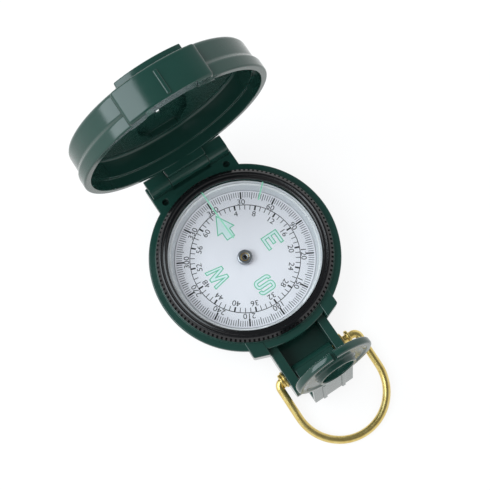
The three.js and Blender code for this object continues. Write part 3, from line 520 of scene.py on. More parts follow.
class Desk:
    """Lays out the nodes of a material or of the world."""

    def __init__(self, owner: "bpy.types.Material | bpy.types.World", output: str) -> None:
        """Clear the owner's nodes and add its output node.

        Args:
            owner: Material or world that the nodes belong to.
            output: Blender's name for the output node.
        """
        owner.use_nodes = True
        self.owner = owner
        self.tree = owner.node_tree
        self.tree.nodes.clear()
        self.output = self.node(output)
        self.places = self.node("ShaderNodeTexCoord").outputs

    @classmethod
    def of_material(cls, name: str) -> "Desk":
        """Desk for a new material."""
        return cls(bpy.data.materials.new(name), "ShaderNodeOutputMaterial")

    def node(self, kind: str, sockets: dict | None = None, **settings: object) -> bpy.types.Node:
        """Add a node.

        Args:
            kind: Blender's name for the node.
            sockets: Values, or sockets to link, for its inputs.
            **settings: Values for the node's own properties.

        Returns:
            The node.
        """
        node = self.tree.nodes.new(kind)
        for name, value in settings.items():
            setattr(node, name, value)
        for name, value in (sockets or {}).items():
            if isinstance(value, Socket):
                self.tree.links.new(value, node.inputs[name])
            else:
                node.inputs[name].default_value = value
        return node

    def noise(self, size: float, detail: float = 2.0) -> Socket:
        """Noise whose lumps are about size millimetres across."""
        sockets = {"Vector": self.places["Object"], "Scale": 1 / (size * MM), "Detail": detail}
        return self.node("ShaderNodeTexNoise", sockets).outputs["Fac"]

    def spread(self, source: Socket, low: float, high: float) -> Socket:
        """Map the middle range of a noise to low and high."""
        sockets = {"Value": source, "From Min": 0.3, "From Max": 0.7, "To Min": low, "To Max": high}
        return self.node("ShaderNodeMapRange", sockets).outputs["Result"]

    def uneven(self, source: Socket, middle: float, reach: float) -> Socket:
        """Map the middle range of a noise to a number that varies by reach to both sides."""
        return self.spread(source, middle - reach, middle + reach)

    def blend(self, source: Socket, first: Colour, second: Colour) -> Socket:
        """Mix two colours by the middle range of a noise."""
        sockets = {0: self.spread(source, 0, 1), 6: first, 7: second}
        return self.node("ShaderNodeMix", sockets, data_type="RGBA").outputs[2]

    def mottled(self, source: Socket, colour: Colour, share: float) -> Socket:
        """Make a colour darker and lighter by a share, following a noise."""
        return self.blend(source, shade(colour, 1 - share), shade(colour, 1 + share))

    def bump(self, source: Socket, height: float, strength: float) -> Socket:
        """Normal shaped by a noise of that height in millimetres."""
        sockets = {"Height": source, "Distance": height * MM, "Strength": strength}
        return self.node("ShaderNodeBump", sockets).outputs["Normal"]

    def combined(self, operation: str, first: Socket, second: "Socket | float") -> Socket:
        """Work out one number from two."""
        return self.node("ShaderNodeMath", {0: first, 1: second}, operation=operation).outputs[0]

    def mixed(self, share: Socket, first: bpy.types.Node, second: bpy.types.Node) -> bpy.types.Node:
        """Mix two shaders by a share."""
        return self.node("ShaderNodeMixShader", {0: share, 1: first.outputs[0], 2: second.outputs[0]})

    def shown(self, shader: bpy.types.Node) -> "bpy.types.Material | bpy.types.World":
        """Send a shader to the output and return the owner of the nodes."""
        self.tree.links.new(shader.outputs[0], self.output.inputs["Surface"])
        return self.owner


@dataclass(frozen=True)
class MouldedPlastic:
    """Moulded plastic: faint flow clouds in the colour, uneven gloss and a fine mould grain."""

    name: str
    colour: Point
    roughness: float
    clouds: float = 0.05
    shine: float = 0.5
    cloud_size: float = 6.0
    gloss_size: float = 1.4
    gloss_reach: float = 0.02
    grain_size: float = 1.6
    grain_height: float = 0.0003
    grain_strength: float = 0.1

    def material(self) -> bpy.types.Material:
        """Build the material.

        Returns:
            The finished material.
        """
        desk = Desk.of_material(self.name)
        sockets = {
            "Base Color": desk.mottled(desk.noise(self.cloud_size, 4), linear(self.colour), self.clouds),
            "Roughness": desk.uneven(desk.noise(self.gloss_size, 3), self.roughness, self.gloss_reach),
            "Normal": desk.bump(desk.noise(self.grain_size), self.grain_height, self.grain_strength),
            "Specular IOR Level": self.shine,
        }
        return desk.shown(desk.node("ShaderNodeBsdfPrincipled", sockets))


@dataclass(frozen=True)
class PolishedMetal:
    """Metal with small stains, uneven polish and faint waves."""

    name: str
    colour: Point
    stain: Point
    roughness: float
    stain_size: float = 2.2
    gloss_size: float = 0.35
    gloss_reach: float = 0.03
    wave_size: float = 1.2
    wave_height: float = 0.0003
    wave_strength: float = 0.15

    def material(self) -> bpy.types.Material:
        """Build the material.

        Returns:
            The finished material.
        """
        desk = Desk.of_material(self.name)
        sockets = {
            "Base Color": desk.blend(desk.noise(self.stain_size, 5), linear(self.colour), linear(self.stain)),
            "Roughness": desk.uneven(desk.noise(self.gloss_size, 3), self.roughness, self.gloss_reach),
            "Normal": desk.bump(desk.noise(self.wave_size), self.wave_height, self.wave_strength),
            "Metallic": 1.0,
        }
        return desk.shown(desk.node("ShaderNodeBsdfPrincipled", sockets))


@dataclass(frozen=True)
class ClearPlastic:
    """Clear polished plastic: light passes straight through, and the surface mirrors more at its edges."""

    name: str
    tint: Colour
    bending: float
    roughness: float = 0.03
    mark_size: float = 1.8
    mark_share: float = 0.6
    edge_power: float = 5.0

    def material(self) -> bpy.types.Material:
        """Build the material.

        Returns:
            The finished material.
        """
        desk = Desk.of_material(self.name)
        through = desk.node("ShaderNodeBsdfTransparent", {"Color": self.tint})
        marks = desk.uneven(desk.noise(self.mark_size, 3), self.roughness, self.mark_share * self.roughness)
        mirror = desk.node("ShaderNodeBsdfGlossy", {"Roughness": marks})
        facing = desk.node("ShaderNodeLayerWeight", {"Blend": 0.5}).outputs["Facing"]
        edge = desk.combined("POWER", facing, self.edge_power)
        straight = ((self.bending - 1) / (self.bending + 1)) ** 2
        share = desk.node("ShaderNodeMapRange", {"Value": edge, "To Min": straight}).outputs["Result"]
        return desk.shown(desk.mixed(share, through, mirror))


@dataclass(frozen=True)
class Ink:
    """Printing ink: a thin, slightly mottled matt film."""

    name: str
    colour: Point
    mottle: float = 0.1
    spot_size: float = 0.3
    roughness: float = 0.6
    gloss_size: float = 0.6
    gloss_reach: float = 0.05

    def material(self) -> bpy.types.Material:
        """Build the material.

        Returns:
            The finished material.
        """
        desk = Desk.of_material(self.name)
        sockets = {
            "Base Color": desk.mottled(desk.noise(self.spot_size, 3), linear(self.colour), self.mottle),
            "Roughness": desk.uneven(desk.noise(self.gloss_size), self.roughness, self.gloss_reach),
        }
        return desk.shown(desk.node("ShaderNodeBsdfPrincipled", sockets))


class Finishes:
    """Every finish on the compass, made once."""

    def __init__(self) -> None:
        """Build the materials."""
        self.green = MouldedPlastic("green_moulded", (25, 57, 50), 0.15).material()
        self.black = MouldedPlastic("black_moulded", (16, 16, 18), 0.2).material()
        self.white = MouldedPlastic("white_moulded", (216, 219, 222), 0.42, clouds=0.01).material()
        self.card = MouldedPlastic("card_face", (233, 231, 236), 0.6, clouds=0.012, shine=0.3).material()
        self.seal = MouldedPlastic("seal_silicone", (247, 248, 249), 0.6, clouds=0.02).material()
        self.plug = MouldedPlastic("plug_rubber", (60, 60, 60), 0.7, clouds=0.1).material()
        self.crystal = ClearPlastic("crystal_clear", (0.995, 0.998, 0.998, 1), 1.27).material()
        self.capsule = ClearPlastic("capsule_clear", (0.996, 0.998, 0.998, 1), 1.13).material()
        self.lens = ClearPlastic("lens_clear", (0.96, 0.98, 0.975, 1), 1.5).material()
        self.brass = PolishedMetal("brass_drawn", (232, 212, 142), (214, 188, 110), 0.36).material()
        self.gilt = PolishedMetal("gilt_setting", (232, 196, 112), (212, 172, 88), 0.34).material()
        self.steel = PolishedMetal("steel_turned", (168, 171, 174), (140, 143, 147), 0.24).material()
        self.hub = PolishedMetal("steel_hub", (184, 187, 192), (160, 163, 168), 0.34).material()
        self.magnet = PolishedMetal("steel_magnet", (104, 106, 110), (84, 86, 90), 0.38).material()
        self.jewel = MouldedPlastic("jewel_dark", (18, 15, 14), 0.12, clouds=0.3).material()
        self.black_ink = Ink("ink_black", (24, 26, 27)).material()
        self.mint_ink = Ink("ink_mint", (90, 192, 152)).material()
        self.pale_ink = Ink("ink_pale_mint", (214, 233, 232), mottle=0.02).material()
        self.index_ink = Ink("ink_index", (146, 218, 186), mottle=0.05).material()


@dataclass
class Case:
    """Round green case, with the hinge plate, the ears and the two arms moulded on it."""

    finishes: Finishes
    foot_radius: float = 25.4
    foot_chamfer: float = 0.8
    body_radius: float = 25.65
    body_high: float = 7.2
    flange_radius: float = 28.25
    flange_low: float = 9.2
    flange_high: float = 11.0
    shelf_foot: Point = (26.2, 11.08)
    shelf_radius: float = 26.0
    shelf_high: float = 11.9
    collar_radius: float = 23.85
    collar_high: float = 12.6
    groove_radius: float = 23.55
    bore_radius: float = 22.9
    floor: float = 1.6
    spring_pocket: Sequence[Point] = ((24.175, -4.2, 11.0), (25.075, 4.2, 12.9))
    knuckle_start: float = 6.62
    knuckle_end: float = 13.4
    pin_radius: float = 0.8
    pin_half: float = 13.3
    plate_half: float = 14.0
    plate_low: float = 7.5
    plate_high: float = 11.0
    plate_back: float = 33.3
    lug_low: float = 7.8
    lug_back: float = 34.2
    lug_top: float = 15.1
    lug_steps: int = 10
    heel_high: float = 12.2
    heel_foot: float = 11.0
    slot_front: float = 28.25
    ledge_back: float = 29.95
    ledge_high: float = 9.6
    ledge_overlap: float = 0.1
    hole_radius: float = 1.0
    hole_lead: float = 0.15
    hole_x: float = 10.77
    hole_y: float = 26.56
    hole_depth: float = 2.6
    ear: Sequence[Point] = ((9.75, -22.9), (9.75, -28.5), (14.45, -26.7, 0.5), (14.45, -18.3))
    ear_low: float = 5.3
    ear_high: float = 11.3
    arm_inner: float = 6.9
    arm_outer: float = 9.75
    arm_end: float = 42.3
    arm_low: float = 0.8
    arm_high: float = 8.3
    arm_round: float = 2.4
    eyelet_hole: float = 1.65
    tray_half: float = 7.0
    tray_end: float = 39.9
    tray_high: float = 1.4

    def build(self) -> None:
        """Build the case and its hinge pin."""
        body = self.shell().join(self.hinge_plate(), *self.ears(), *self.arms(), self.tray())
        body.cut(Form.block(*self.spring_pocket))
        for x in (-self.hole_x, self.hole_x):
            body.cut(self.blind_hole().shifted(x, self.hole_y))
        body.piece("case_body_moulding", Body.CASE, Slot.GREEN, self.finishes.green, ["case_body"])
        pin = Form.bar(self.pin_radius, -self.pin_half, self.pin_half, 0.15)
        pin.shifted(y=HINGE_Y, z=HINGE_Z)
        pin.piece("hinge_pin", Body.CASE, Slot.STEEL, self.finishes.steel, ["cover_hinge_pin"])

    def shell(self) -> Form:
        """Turn the round case.

        Returns:
            The case with its flange, shelf, grooved collar and bore.
        """
        return Form.turned(
            [
                (0, 0),
                (self.foot_radius - self.foot_chamfer, 0, 0.4),
                (self.foot_radius, self.foot_chamfer, 0.4),
                (self.body_radius, self.body_high, 0.35),
                (self.flange_radius, self.flange_low, 0.3),
                (self.flange_radius, self.flange_high, 0.4),
                (*self.shelf_foot, 0.1),
                (self.shelf_radius, self.shelf_high, 0.15),
                (self.collar_radius, self.shelf_high),
                (self.collar_radius, SNAP_LOW),
                (self.groove_radius, SNAP_LOW),
                (self.groove_radius, SNAP_HIGH),
                (self.collar_radius, SNAP_HIGH),
                (self.collar_radius, self.collar_high),
                (self.bore_radius, self.collar_high, 0.15),
                (self.bore_radius, self.floor, 0.3),
                (0, self.floor),
            ]
        )

    def hinge_plate(self) -> Form:
        """Build the plate behind the case.

        Returns:
            The plate with its two outer knuckles and the ledge between them.
        """
        start, end = self.knuckle_start, self.knuckle_end
        plate = Form.block(
            (-self.plate_half, self.bore_radius, self.plate_low),
            (self.plate_half, self.plate_back, self.plate_high),
            0.3,
        )
        plate.join(self.lug(-end, -start), self.lug(start, end))
        slot = Form.block(
            (-start, self.slot_front, self.plate_low - OVERRUN),
            (start, self.plate_back + OVERRUN, HINGE_Z + KNUCKLE_RADIUS + OVERRUN),
        )
        plate.cut(slot, Form.drill(PIN_BORE, end).shifted(y=HINGE_Y, z=HINGE_Z))
        side = start + self.ledge_overlap
        ledge = Form.block(
            (-side, self.slot_front - self.ledge_overlap, self.plate_low),
            (side, self.ledge_back, self.ledge_high),
        )
        return plate.join(ledge)

    def lug(self, near: float, far: float) -> Form:
        """Build one outer knuckle.

        Args:
            near: Where it starts along X.
            far: Where it ends.

        Returns:
            The knuckle, round in front and built out behind.
        """
        front = arc(KNUCKLE_RADIUS, math.pi, QUARTER_TURN, self.lug_steps)
        outline = [
            (HINGE_Y - KNUCKLE_RADIUS, self.lug_low),
            *[(HINGE_Y + y, HINGE_Z + z) for y, z in front],
            (self.lug_back, self.lug_top, 0.6),
            (self.lug_back, self.heel_high, 0.3),
            (self.plate_back, self.heel_foot),
            (self.plate_back, self.lug_low),
        ]
        return Form.plate(outline, 0, far - near).softened(0.25).moved(standing(near, 1))

    def blind_hole(self) -> Form:
        """Make the tool for a blind hole in the plate.

        Returns:
            The tool, with a small lead at the hole's mouth.
        """
        mouth = self.hole_radius + self.hole_lead
        bottom, above = self.plate_high - self.hole_depth, self.plate_high + OVERRUN
        profile = [
            (0, bottom),
            (self.hole_radius, bottom),
            (self.hole_radius, self.plate_high - self.hole_lead),
            (mouth, self.plate_high + MOUTH_RISE),
            (mouth, above),
            (0, above),
        ]
        return Form.turned(profile, SMALL_STEPS)

    def tray(self) -> Form:
        """Thin floor between the arms."""
        high = (self.tray_half, -self.bore_radius, self.tray_high)
        return Form.block((-self.tray_half, -self.tray_end, self.arm_low), high)

    def ears(self) -> list[Form]:
        """Flat ears of the case on both sides of the arms."""
        outlines = (self.ear, mirrored(self.ear))
        return [Form.plate(outline, self.ear_low, self.ear_high).softened(0.3) for outline in outlines]

    def arms(self) -> list[Form]:
        """Build the two arms that carry the lens bracket and the thumb loop.

        Returns:
            The right arm and the left one, with their eyelet holes.
        """
        outline = [
            (self.bore_radius, self.arm_low),
            (self.arm_end, self.arm_low, self.arm_round),
            (self.arm_end, self.arm_high, self.arm_round),
            (self.bore_radius, self.arm_high),
        ]
        made = []
        for near in (self.arm_inner, -self.arm_outer):
            arm = Form.plate(outline, 0, self.arm_outer - self.arm_inner).softened(0.25)
            arm.moved(standing(near, -1))
            hole = Form.drill(self.eyelet_hole, self.arm_outer)
            made.append(arm.cut(hole.shifted(y=AXIS_Y, z=AXIS_Z)))
        return made


@dataclass
class Cover:
    """Deep hinged cover, drawn closed and then opened to its place."""

    finishes: Finishes
    open_degrees: float = -84.5
    rim_z: float = 15.3
    radius: float = 28.25
    band: float = 3.2
    wall_radius: float = 27.4
    wall_start: float = 4.3
    height: float = 10.2
    mouth_radius: float = 26.33
    rebate: float = 3.3
    cup_radius: float = 25.43
    ceiling: float = 9.0
    boss_root: float = 9.6
    boss_high: float = 11.7
    boss_half: float = 9.2
    boss_front: float = 26.4
    boss_shoulder: float = 14.0
    boss_rear_y: float = 23.6
    boss_rear_half: float = 4.9
    boss_wall: float = 1.25
    boss_ceiling: float = 10.8
    boss_steps: int = 12
    pad_half: float = 11.7
    pad_radius: float = 29.55
    pad_back: float = -20.0
    pad_inner: float = 26.8
    pad_high: float = 9.2
    pad_corner: float = 0.9
    pad_chamfer: float = 0.6
    pad_lip: float = 0.85
    pad_lip_steps: int = 5
    pad_arc_share: float = 0.93
    pad_steps: int = 24
    fill_overlap: float = 0.1
    rib_half: float = 0.6
    rib_stand: float = 0.4
    rib_low: float = 0.75
    rib_high: float = 7.5
    notch_half: float = 7.2
    notch_depth: float = 0.35
    sight_y: float = 10.8
    slot_half: Point = (0.45, 1.3)
    funnel_half: Point = (1.6, 3.4)
    funnel_overrun: Point = (0.5, 0.1)
    knuckle_half: float = 6.56
    web_front: float = 26.33
    web_back: float = 32.15

    def build(self) -> None:
        """Build the cover and open it."""
        body = self.shell().join(self.pad(), self.fill(), self.boss(), self.knuckle())
        body.cut(self.boss_hollow(), self.notch(), self.funnel())
        body.cut(Form.drill(PIN_BORE, self.knuckle_half).shifted(y=HINGE_Y, z=HINGE_Z))
        there = Matrix.Translation((0, HINGE_Y, HINGE_Z))
        body.moved(there @ spun(self.open_degrees, "X") @ there.inverted())
        body.piece("cover_moulding", Body.COVER, Slot.GREEN, self.finishes.green, ["cover_shell"])

    def shell(self) -> Form:
        """Turn the round cup.

        Returns:
            The cup with its stepped outer wall and rebated mouth.
        """
        profile = [
            (0, self.height),
            (self.wall_radius, self.height, 1.3),
            (self.wall_radius, self.wall_start, 0.35),
            (self.radius, self.band, 0.35),
            (self.radius, 0, 0.45),
            (self.mouth_radius, 0, 0.25),
            (self.mouth_radius, self.rebate, 0.2),
            (self.cup_radius, self.rebate, 0.2),
            (self.cup_radius, self.ceiling, 1.0),
            (0, self.ceiling),
        ]
        return Form.turned(profile).shifted(z=self.rim_z)

    def pad(self) -> Form:
        """Build the thumb pad on the front.

        Returns:
            The pad with its upright rib.
        """
        edge = math.asin(self.pad_half / self.pad_radius)
        reach = self.pad_arc_share * edge
        side_y = -self.pad_radius * math.cos(edge)
        outline = [
            (self.pad_half, self.pad_back),
            (self.pad_half, side_y, self.pad_corner),
            *arc(self.pad_radius, reach - QUARTER_TURN, -reach - QUARTER_TURN, self.pad_steps),
            (-self.pad_half, side_y, self.pad_corner),
            (-self.pad_half, self.pad_back),
        ]
        pad = Form.plate(outline, 0, self.pad_high)
        pad.softened(self.pad_lip, lambda rim: self._is_pad_rim(rim, 0), self.pad_lip_steps)
        pad.softened(self.pad_chamfer, lambda rim: self._is_pad_rim(rim, self.pad_high))
        pad.cut(Form.disc(self.pad_inner, -OVERRUN, self.pad_high + OVERRUN))
        rib = Form.block(
            (-self.rib_half, -self.pad_radius - self.rib_stand, self.rib_low),
            (self.rib_half, -self.radius, self.rib_high),
            0.35,
        )
        return pad.join(rib).shifted(z=self.rim_z)

    def _is_pad_rim(self, edge: bmesh.types.BMEdge, height: float) -> bool:
        """Tell the pad's outer edges at a height from its other edges.

        Args:
            edge: Edge of the pad.
            height: Height of its underside or of its top.

        Returns:
            True for an outer edge at that height.
        """
        level = all(abs(v.co.z - height) < WELD for v in edge.verts)
        return level and any(v.co.y < self.pad_back - WELD for v in edge.verts)

    def fill(self) -> Form:
        """Fill the mouth's rebate behind the pad.

        Returns:
            The solid stretch of the mouth.
        """
        outer, high = self.pad_inner + self.fill_overlap, self.rebate + self.fill_overlap
        section = [(self.cup_radius, 0, 0.25), (outer, 0), (outer, high), (self.cup_radius, high)]
        ring = Form.turned(section, closed=True)
        ring.keep(Form.block((-self.pad_half, -self.radius, -OVERRUN), (self.pad_half, 0, high + OVERRUN)))
        return ring.shifted(z=self.rim_z)

    def boss_outline(self, inset: float) -> list[Point]:
        """Draw the outline of the raised boss.

        Args:
            inset: Wall thickness by which it is drawn in.

        Returns:
            The corners of the outline.
        """
        half = self.boss_half - inset
        front = self.boss_front - inset
        edge = math.asin(half / front)
        lean = math.atan2(self.boss_half - self.boss_rear_half, self.boss_rear_y - self.boss_shoulder)
        rear = [
            (half, self.boss_shoulder - inset * math.tan(lean / 2)),
            (self.boss_rear_half - inset * math.tan(math.pi / 4 - lean / 2), self.boss_rear_y - inset),
        ]
        curve = arc(front, -edge - QUARTER_TURN, edge - QUARTER_TURN, self.boss_steps)
        return curve + rear + mirrored(rear)

    def boss(self) -> Form:
        """Raised boss on the outside of the cover."""
        boss = Form.plate(self.boss_outline(0), self.boss_root, self.boss_high)
        return boss.softened(0.3).shifted(z=self.rim_z)

    def boss_hollow(self) -> Form:
        """Tool for the recess inside the boss."""
        hollow = Form.plate(self.boss_outline(self.boss_wall), self.ceiling - OVERRUN, self.boss_ceiling)
        return hollow.softened(0.15).shifted(z=self.rim_z)

    def notch(self) -> Form:
        """Tool for the shallow cut in the mouth, where the neck of the folded bracket passes."""
        low = (-self.notch_half, -self.pad_radius - OVERRUN, -OVERRUN)
        return Form.block(low, (self.notch_half, self.pad_back, self.notch_depth)).shifted(z=self.rim_z)

    def funnel(self) -> Form:
        """Make the tool for the sighting slot.

        Returns:
            The tool, flared to the inside like a short pyramid.
        """
        inside, outside = self.funnel_overrun
        low, high = self.boss_ceiling - inside, self.boss_high + outside
        hole = Form.block((-1, -1, low), (1, 1, high))
        for height in (low, high):
            share = (self.boss_high - height) / (self.boss_high - self.boss_ceiling)
            wide, long = [s + (f - s) * share for s, f in zip(self.slot_half, self.funnel_half)]
            level = [v for v in hole.mesh.verts if abs(v.co.z - height) < WELD]
            bmesh.ops.scale(hole.mesh, vec=(wide, long, 1), verts=level)
        return hole.shifted(y=self.sight_y, z=self.rim_z)

    def knuckle(self) -> Form:
        """Build the middle knuckle.

        Returns:
            The knuckle and the web that joins it to the cover.
        """
        half = self.knuckle_half
        high = self.rim_z + self.band
        web = Form.block((-half, self.web_front, HINGE_Z), (half, self.web_back, high), 0.25)
        return web.join(Form.bar(KNUCKLE_RADIUS, -half, half, 0.2).shifted(y=HINGE_Y, z=HINGE_Z))


@dataclass
class Bezel:
    """Black toothed bezel with its crystal and the two luminous index lines."""

    finishes: Finishes
    skirt_radius: float = 24.1
    skirt_low: float = 12.05
    groove_radius: float = 24.4
    root: float = 25.15
    tip: float = 25.85
    tip_high: float = 12.7
    teeth: int = 120
    notch_low: float = 12.3
    notch_half: float = 0.3
    top: float = 13.75
    crest_outer: float = 24.65
    crest_inner: float = 24.1
    valley_radius: float = 23.75
    valley: float = 13.45
    lip_outer: float = 23.175
    lip_inner: float = 22.975
    lip_top: float = 13.65
    opening: float = 22.575
    seat: float = 23.375
    crystal_radius: float = 23.275
    crystal_low: float = 12.75
    crystal_high: float = 13.35
    line_half: float = 0.2
    line_thickness: float = 0.03
    long_line: Point = (1.0, 5.6, 22.5)
    short_line: Point = (-47.3, 16.7, 22.5)

    def build(self) -> None:
        """Build the bezel, the crystal and the lines."""
        ring = self.ring().cut(self.notches())
        ring.piece("bezel_toothed_ring", Body.BEZEL, Slot.BLACK, self.finishes.black, ["bezel_ring"])
        crystal = Form.disc(self.crystal_radius, self.crystal_low, self.crystal_high, 0.1)
        crystal.piece("bezel_crystal_disc", Body.BEZEL, Slot.CLEAR, self.finishes.crystal, ["bezel_crystal"])
        lines = self.index_line(*self.long_line).with_loose(self.index_line(*self.short_line))
        lines.piece("bezel_index_lines", Body.BEZEL, Slot.CLEAR, self.finishes.index_ink)

    def ring(self) -> Form:
        """Turn the ring of the bezel.

        Returns:
            The ring with its grooved skirt, sloped rim, crest, shallow valley and inner lip.
        """
        return Form.turned(
            [
                (self.skirt_radius, self.skirt_low),
                (self.tip, self.skirt_low),
                (self.tip, self.tip_high, 0.12),
                (self.crest_outer, self.top, 0.25),
                (self.crest_inner, self.top, 0.15),
                (self.valley_radius, self.valley, 0.15),
                (self.lip_outer, self.lip_top, 0.12),
                (self.lip_inner, self.lip_top, 0.12),
                (self.opening, self.crystal_high),
                (self.seat, self.crystal_high),
                (self.seat, self.crystal_low),
                (self.skirt_radius, self.crystal_low),
                (self.skirt_radius, SNAP_HIGH),
                (self.groove_radius, SNAP_HIGH),
                (self.groove_radius, SNAP_LOW),
                (self.skirt_radius, SNAP_LOW),
            ],
            closed=True,
        )

    def notches(self) -> Form:
        """Make the tool for the notches between the teeth.

        Returns:
            Blocks that cut into the sloped rim and are open to the outside.
        """
        form = Form()
        far = self.tip + OVERRUN
        high = self.top + OVERRUN
        size = Matrix.Diagonal((far - self.root, 2 * self.notch_half, high - self.notch_low, 1))
        place = Matrix.Translation(((self.root + far) / 2, 0, (self.notch_low + high) / 2))
        for tooth in range(self.teeth):
            form.add_cube(spun(tooth * 360 / self.teeth) @ place @ size)
        return form

    def index_line(self, degrees: float, near: float, far: float) -> Form:
        """Make a thin luminous line under the crystal.

        Args:
            degrees: Its turn from north, anticlockwise.
            near: Radius at which it starts.
            far: Radius at which it ends.

        Returns:
            The line.
        """
        low = self.crystal_low - self.line_thickness
        line = Form.block((-self.line_half, near, low), (self.line_half, far, self.crystal_low))
        return line.moved(spun(degrees))


@dataclass
class Capsule:
    """White capsule bowl with its seal and its clear lens."""

    finishes: Finishes
    inner: float = 21.7
    outer: float = 22.7
    bottom: float = 1.7
    floor: float = 2.7
    seat: float = 10.0
    ledge: float = 22.3
    top: float = 11.3
    step: float = 21.1
    step_high: float = 6.9
    step_low: float = 5.6
    step_foot: float = 5.2
    post_hole: float = 1.3
    plug_hole: float = 1.0
    plug_y: float = -12.0
    seal_inner: float = 21.72
    lens_radius: float = 22.2
    lens_low: float = 10.3

    def build(self) -> None:
        """Build the bowl, its seal and its lens."""
        plug_hole = Form.disc(self.plug_hole, 0, self.floor + OVERRUN, steps=SMALL_STEPS)
        bowl = self.bowl().cut(plug_hole.shifted(y=self.plug_y))
        bowl.piece("capsule_bowl_moulding", Body.CASE, Slot.WHITE, self.finishes.white, ["capsule_bowl"])
        seal = Form.ring((self.seal_inner, self.lens_radius), (self.seat, self.lens_low))
        seal.piece("capsule_seal_ring", Body.CASE, Slot.SILICONE, self.finishes.seal, ["capsule_seal"])
        radius, low = self.lens_radius, self.lens_low
        lens = Form.turned([(0, low), (radius, low), (radius, self.top, 0.12), (0, self.top)])
        lens.piece("capsule_lens_disc", Body.CASE, Slot.CLEAR, self.finishes.capsule, ["capsule_lens"])

    def bowl(self) -> Form:
        """Turn the bowl.

        Returns:
            The bowl with the seat of its lens and the step beside the card.
        """
        return Form.turned(
            [
                (self.post_hole, self.bottom),
                (self.outer, self.bottom, 0.3),
                (self.outer, self.top, 0.1),
                (self.ledge, self.top, 0.1),
                (self.ledge, self.seat),
                (self.inner, self.seat, 0.2),
                (self.step, self.step_high, 0.2),
                (self.step, self.step_low, 0.2),
                (self.inner, self.step_foot),
                (self.inner, self.floor, 0.6),
                (self.post_hole, self.floor),
            ],
            closed=True,
        )


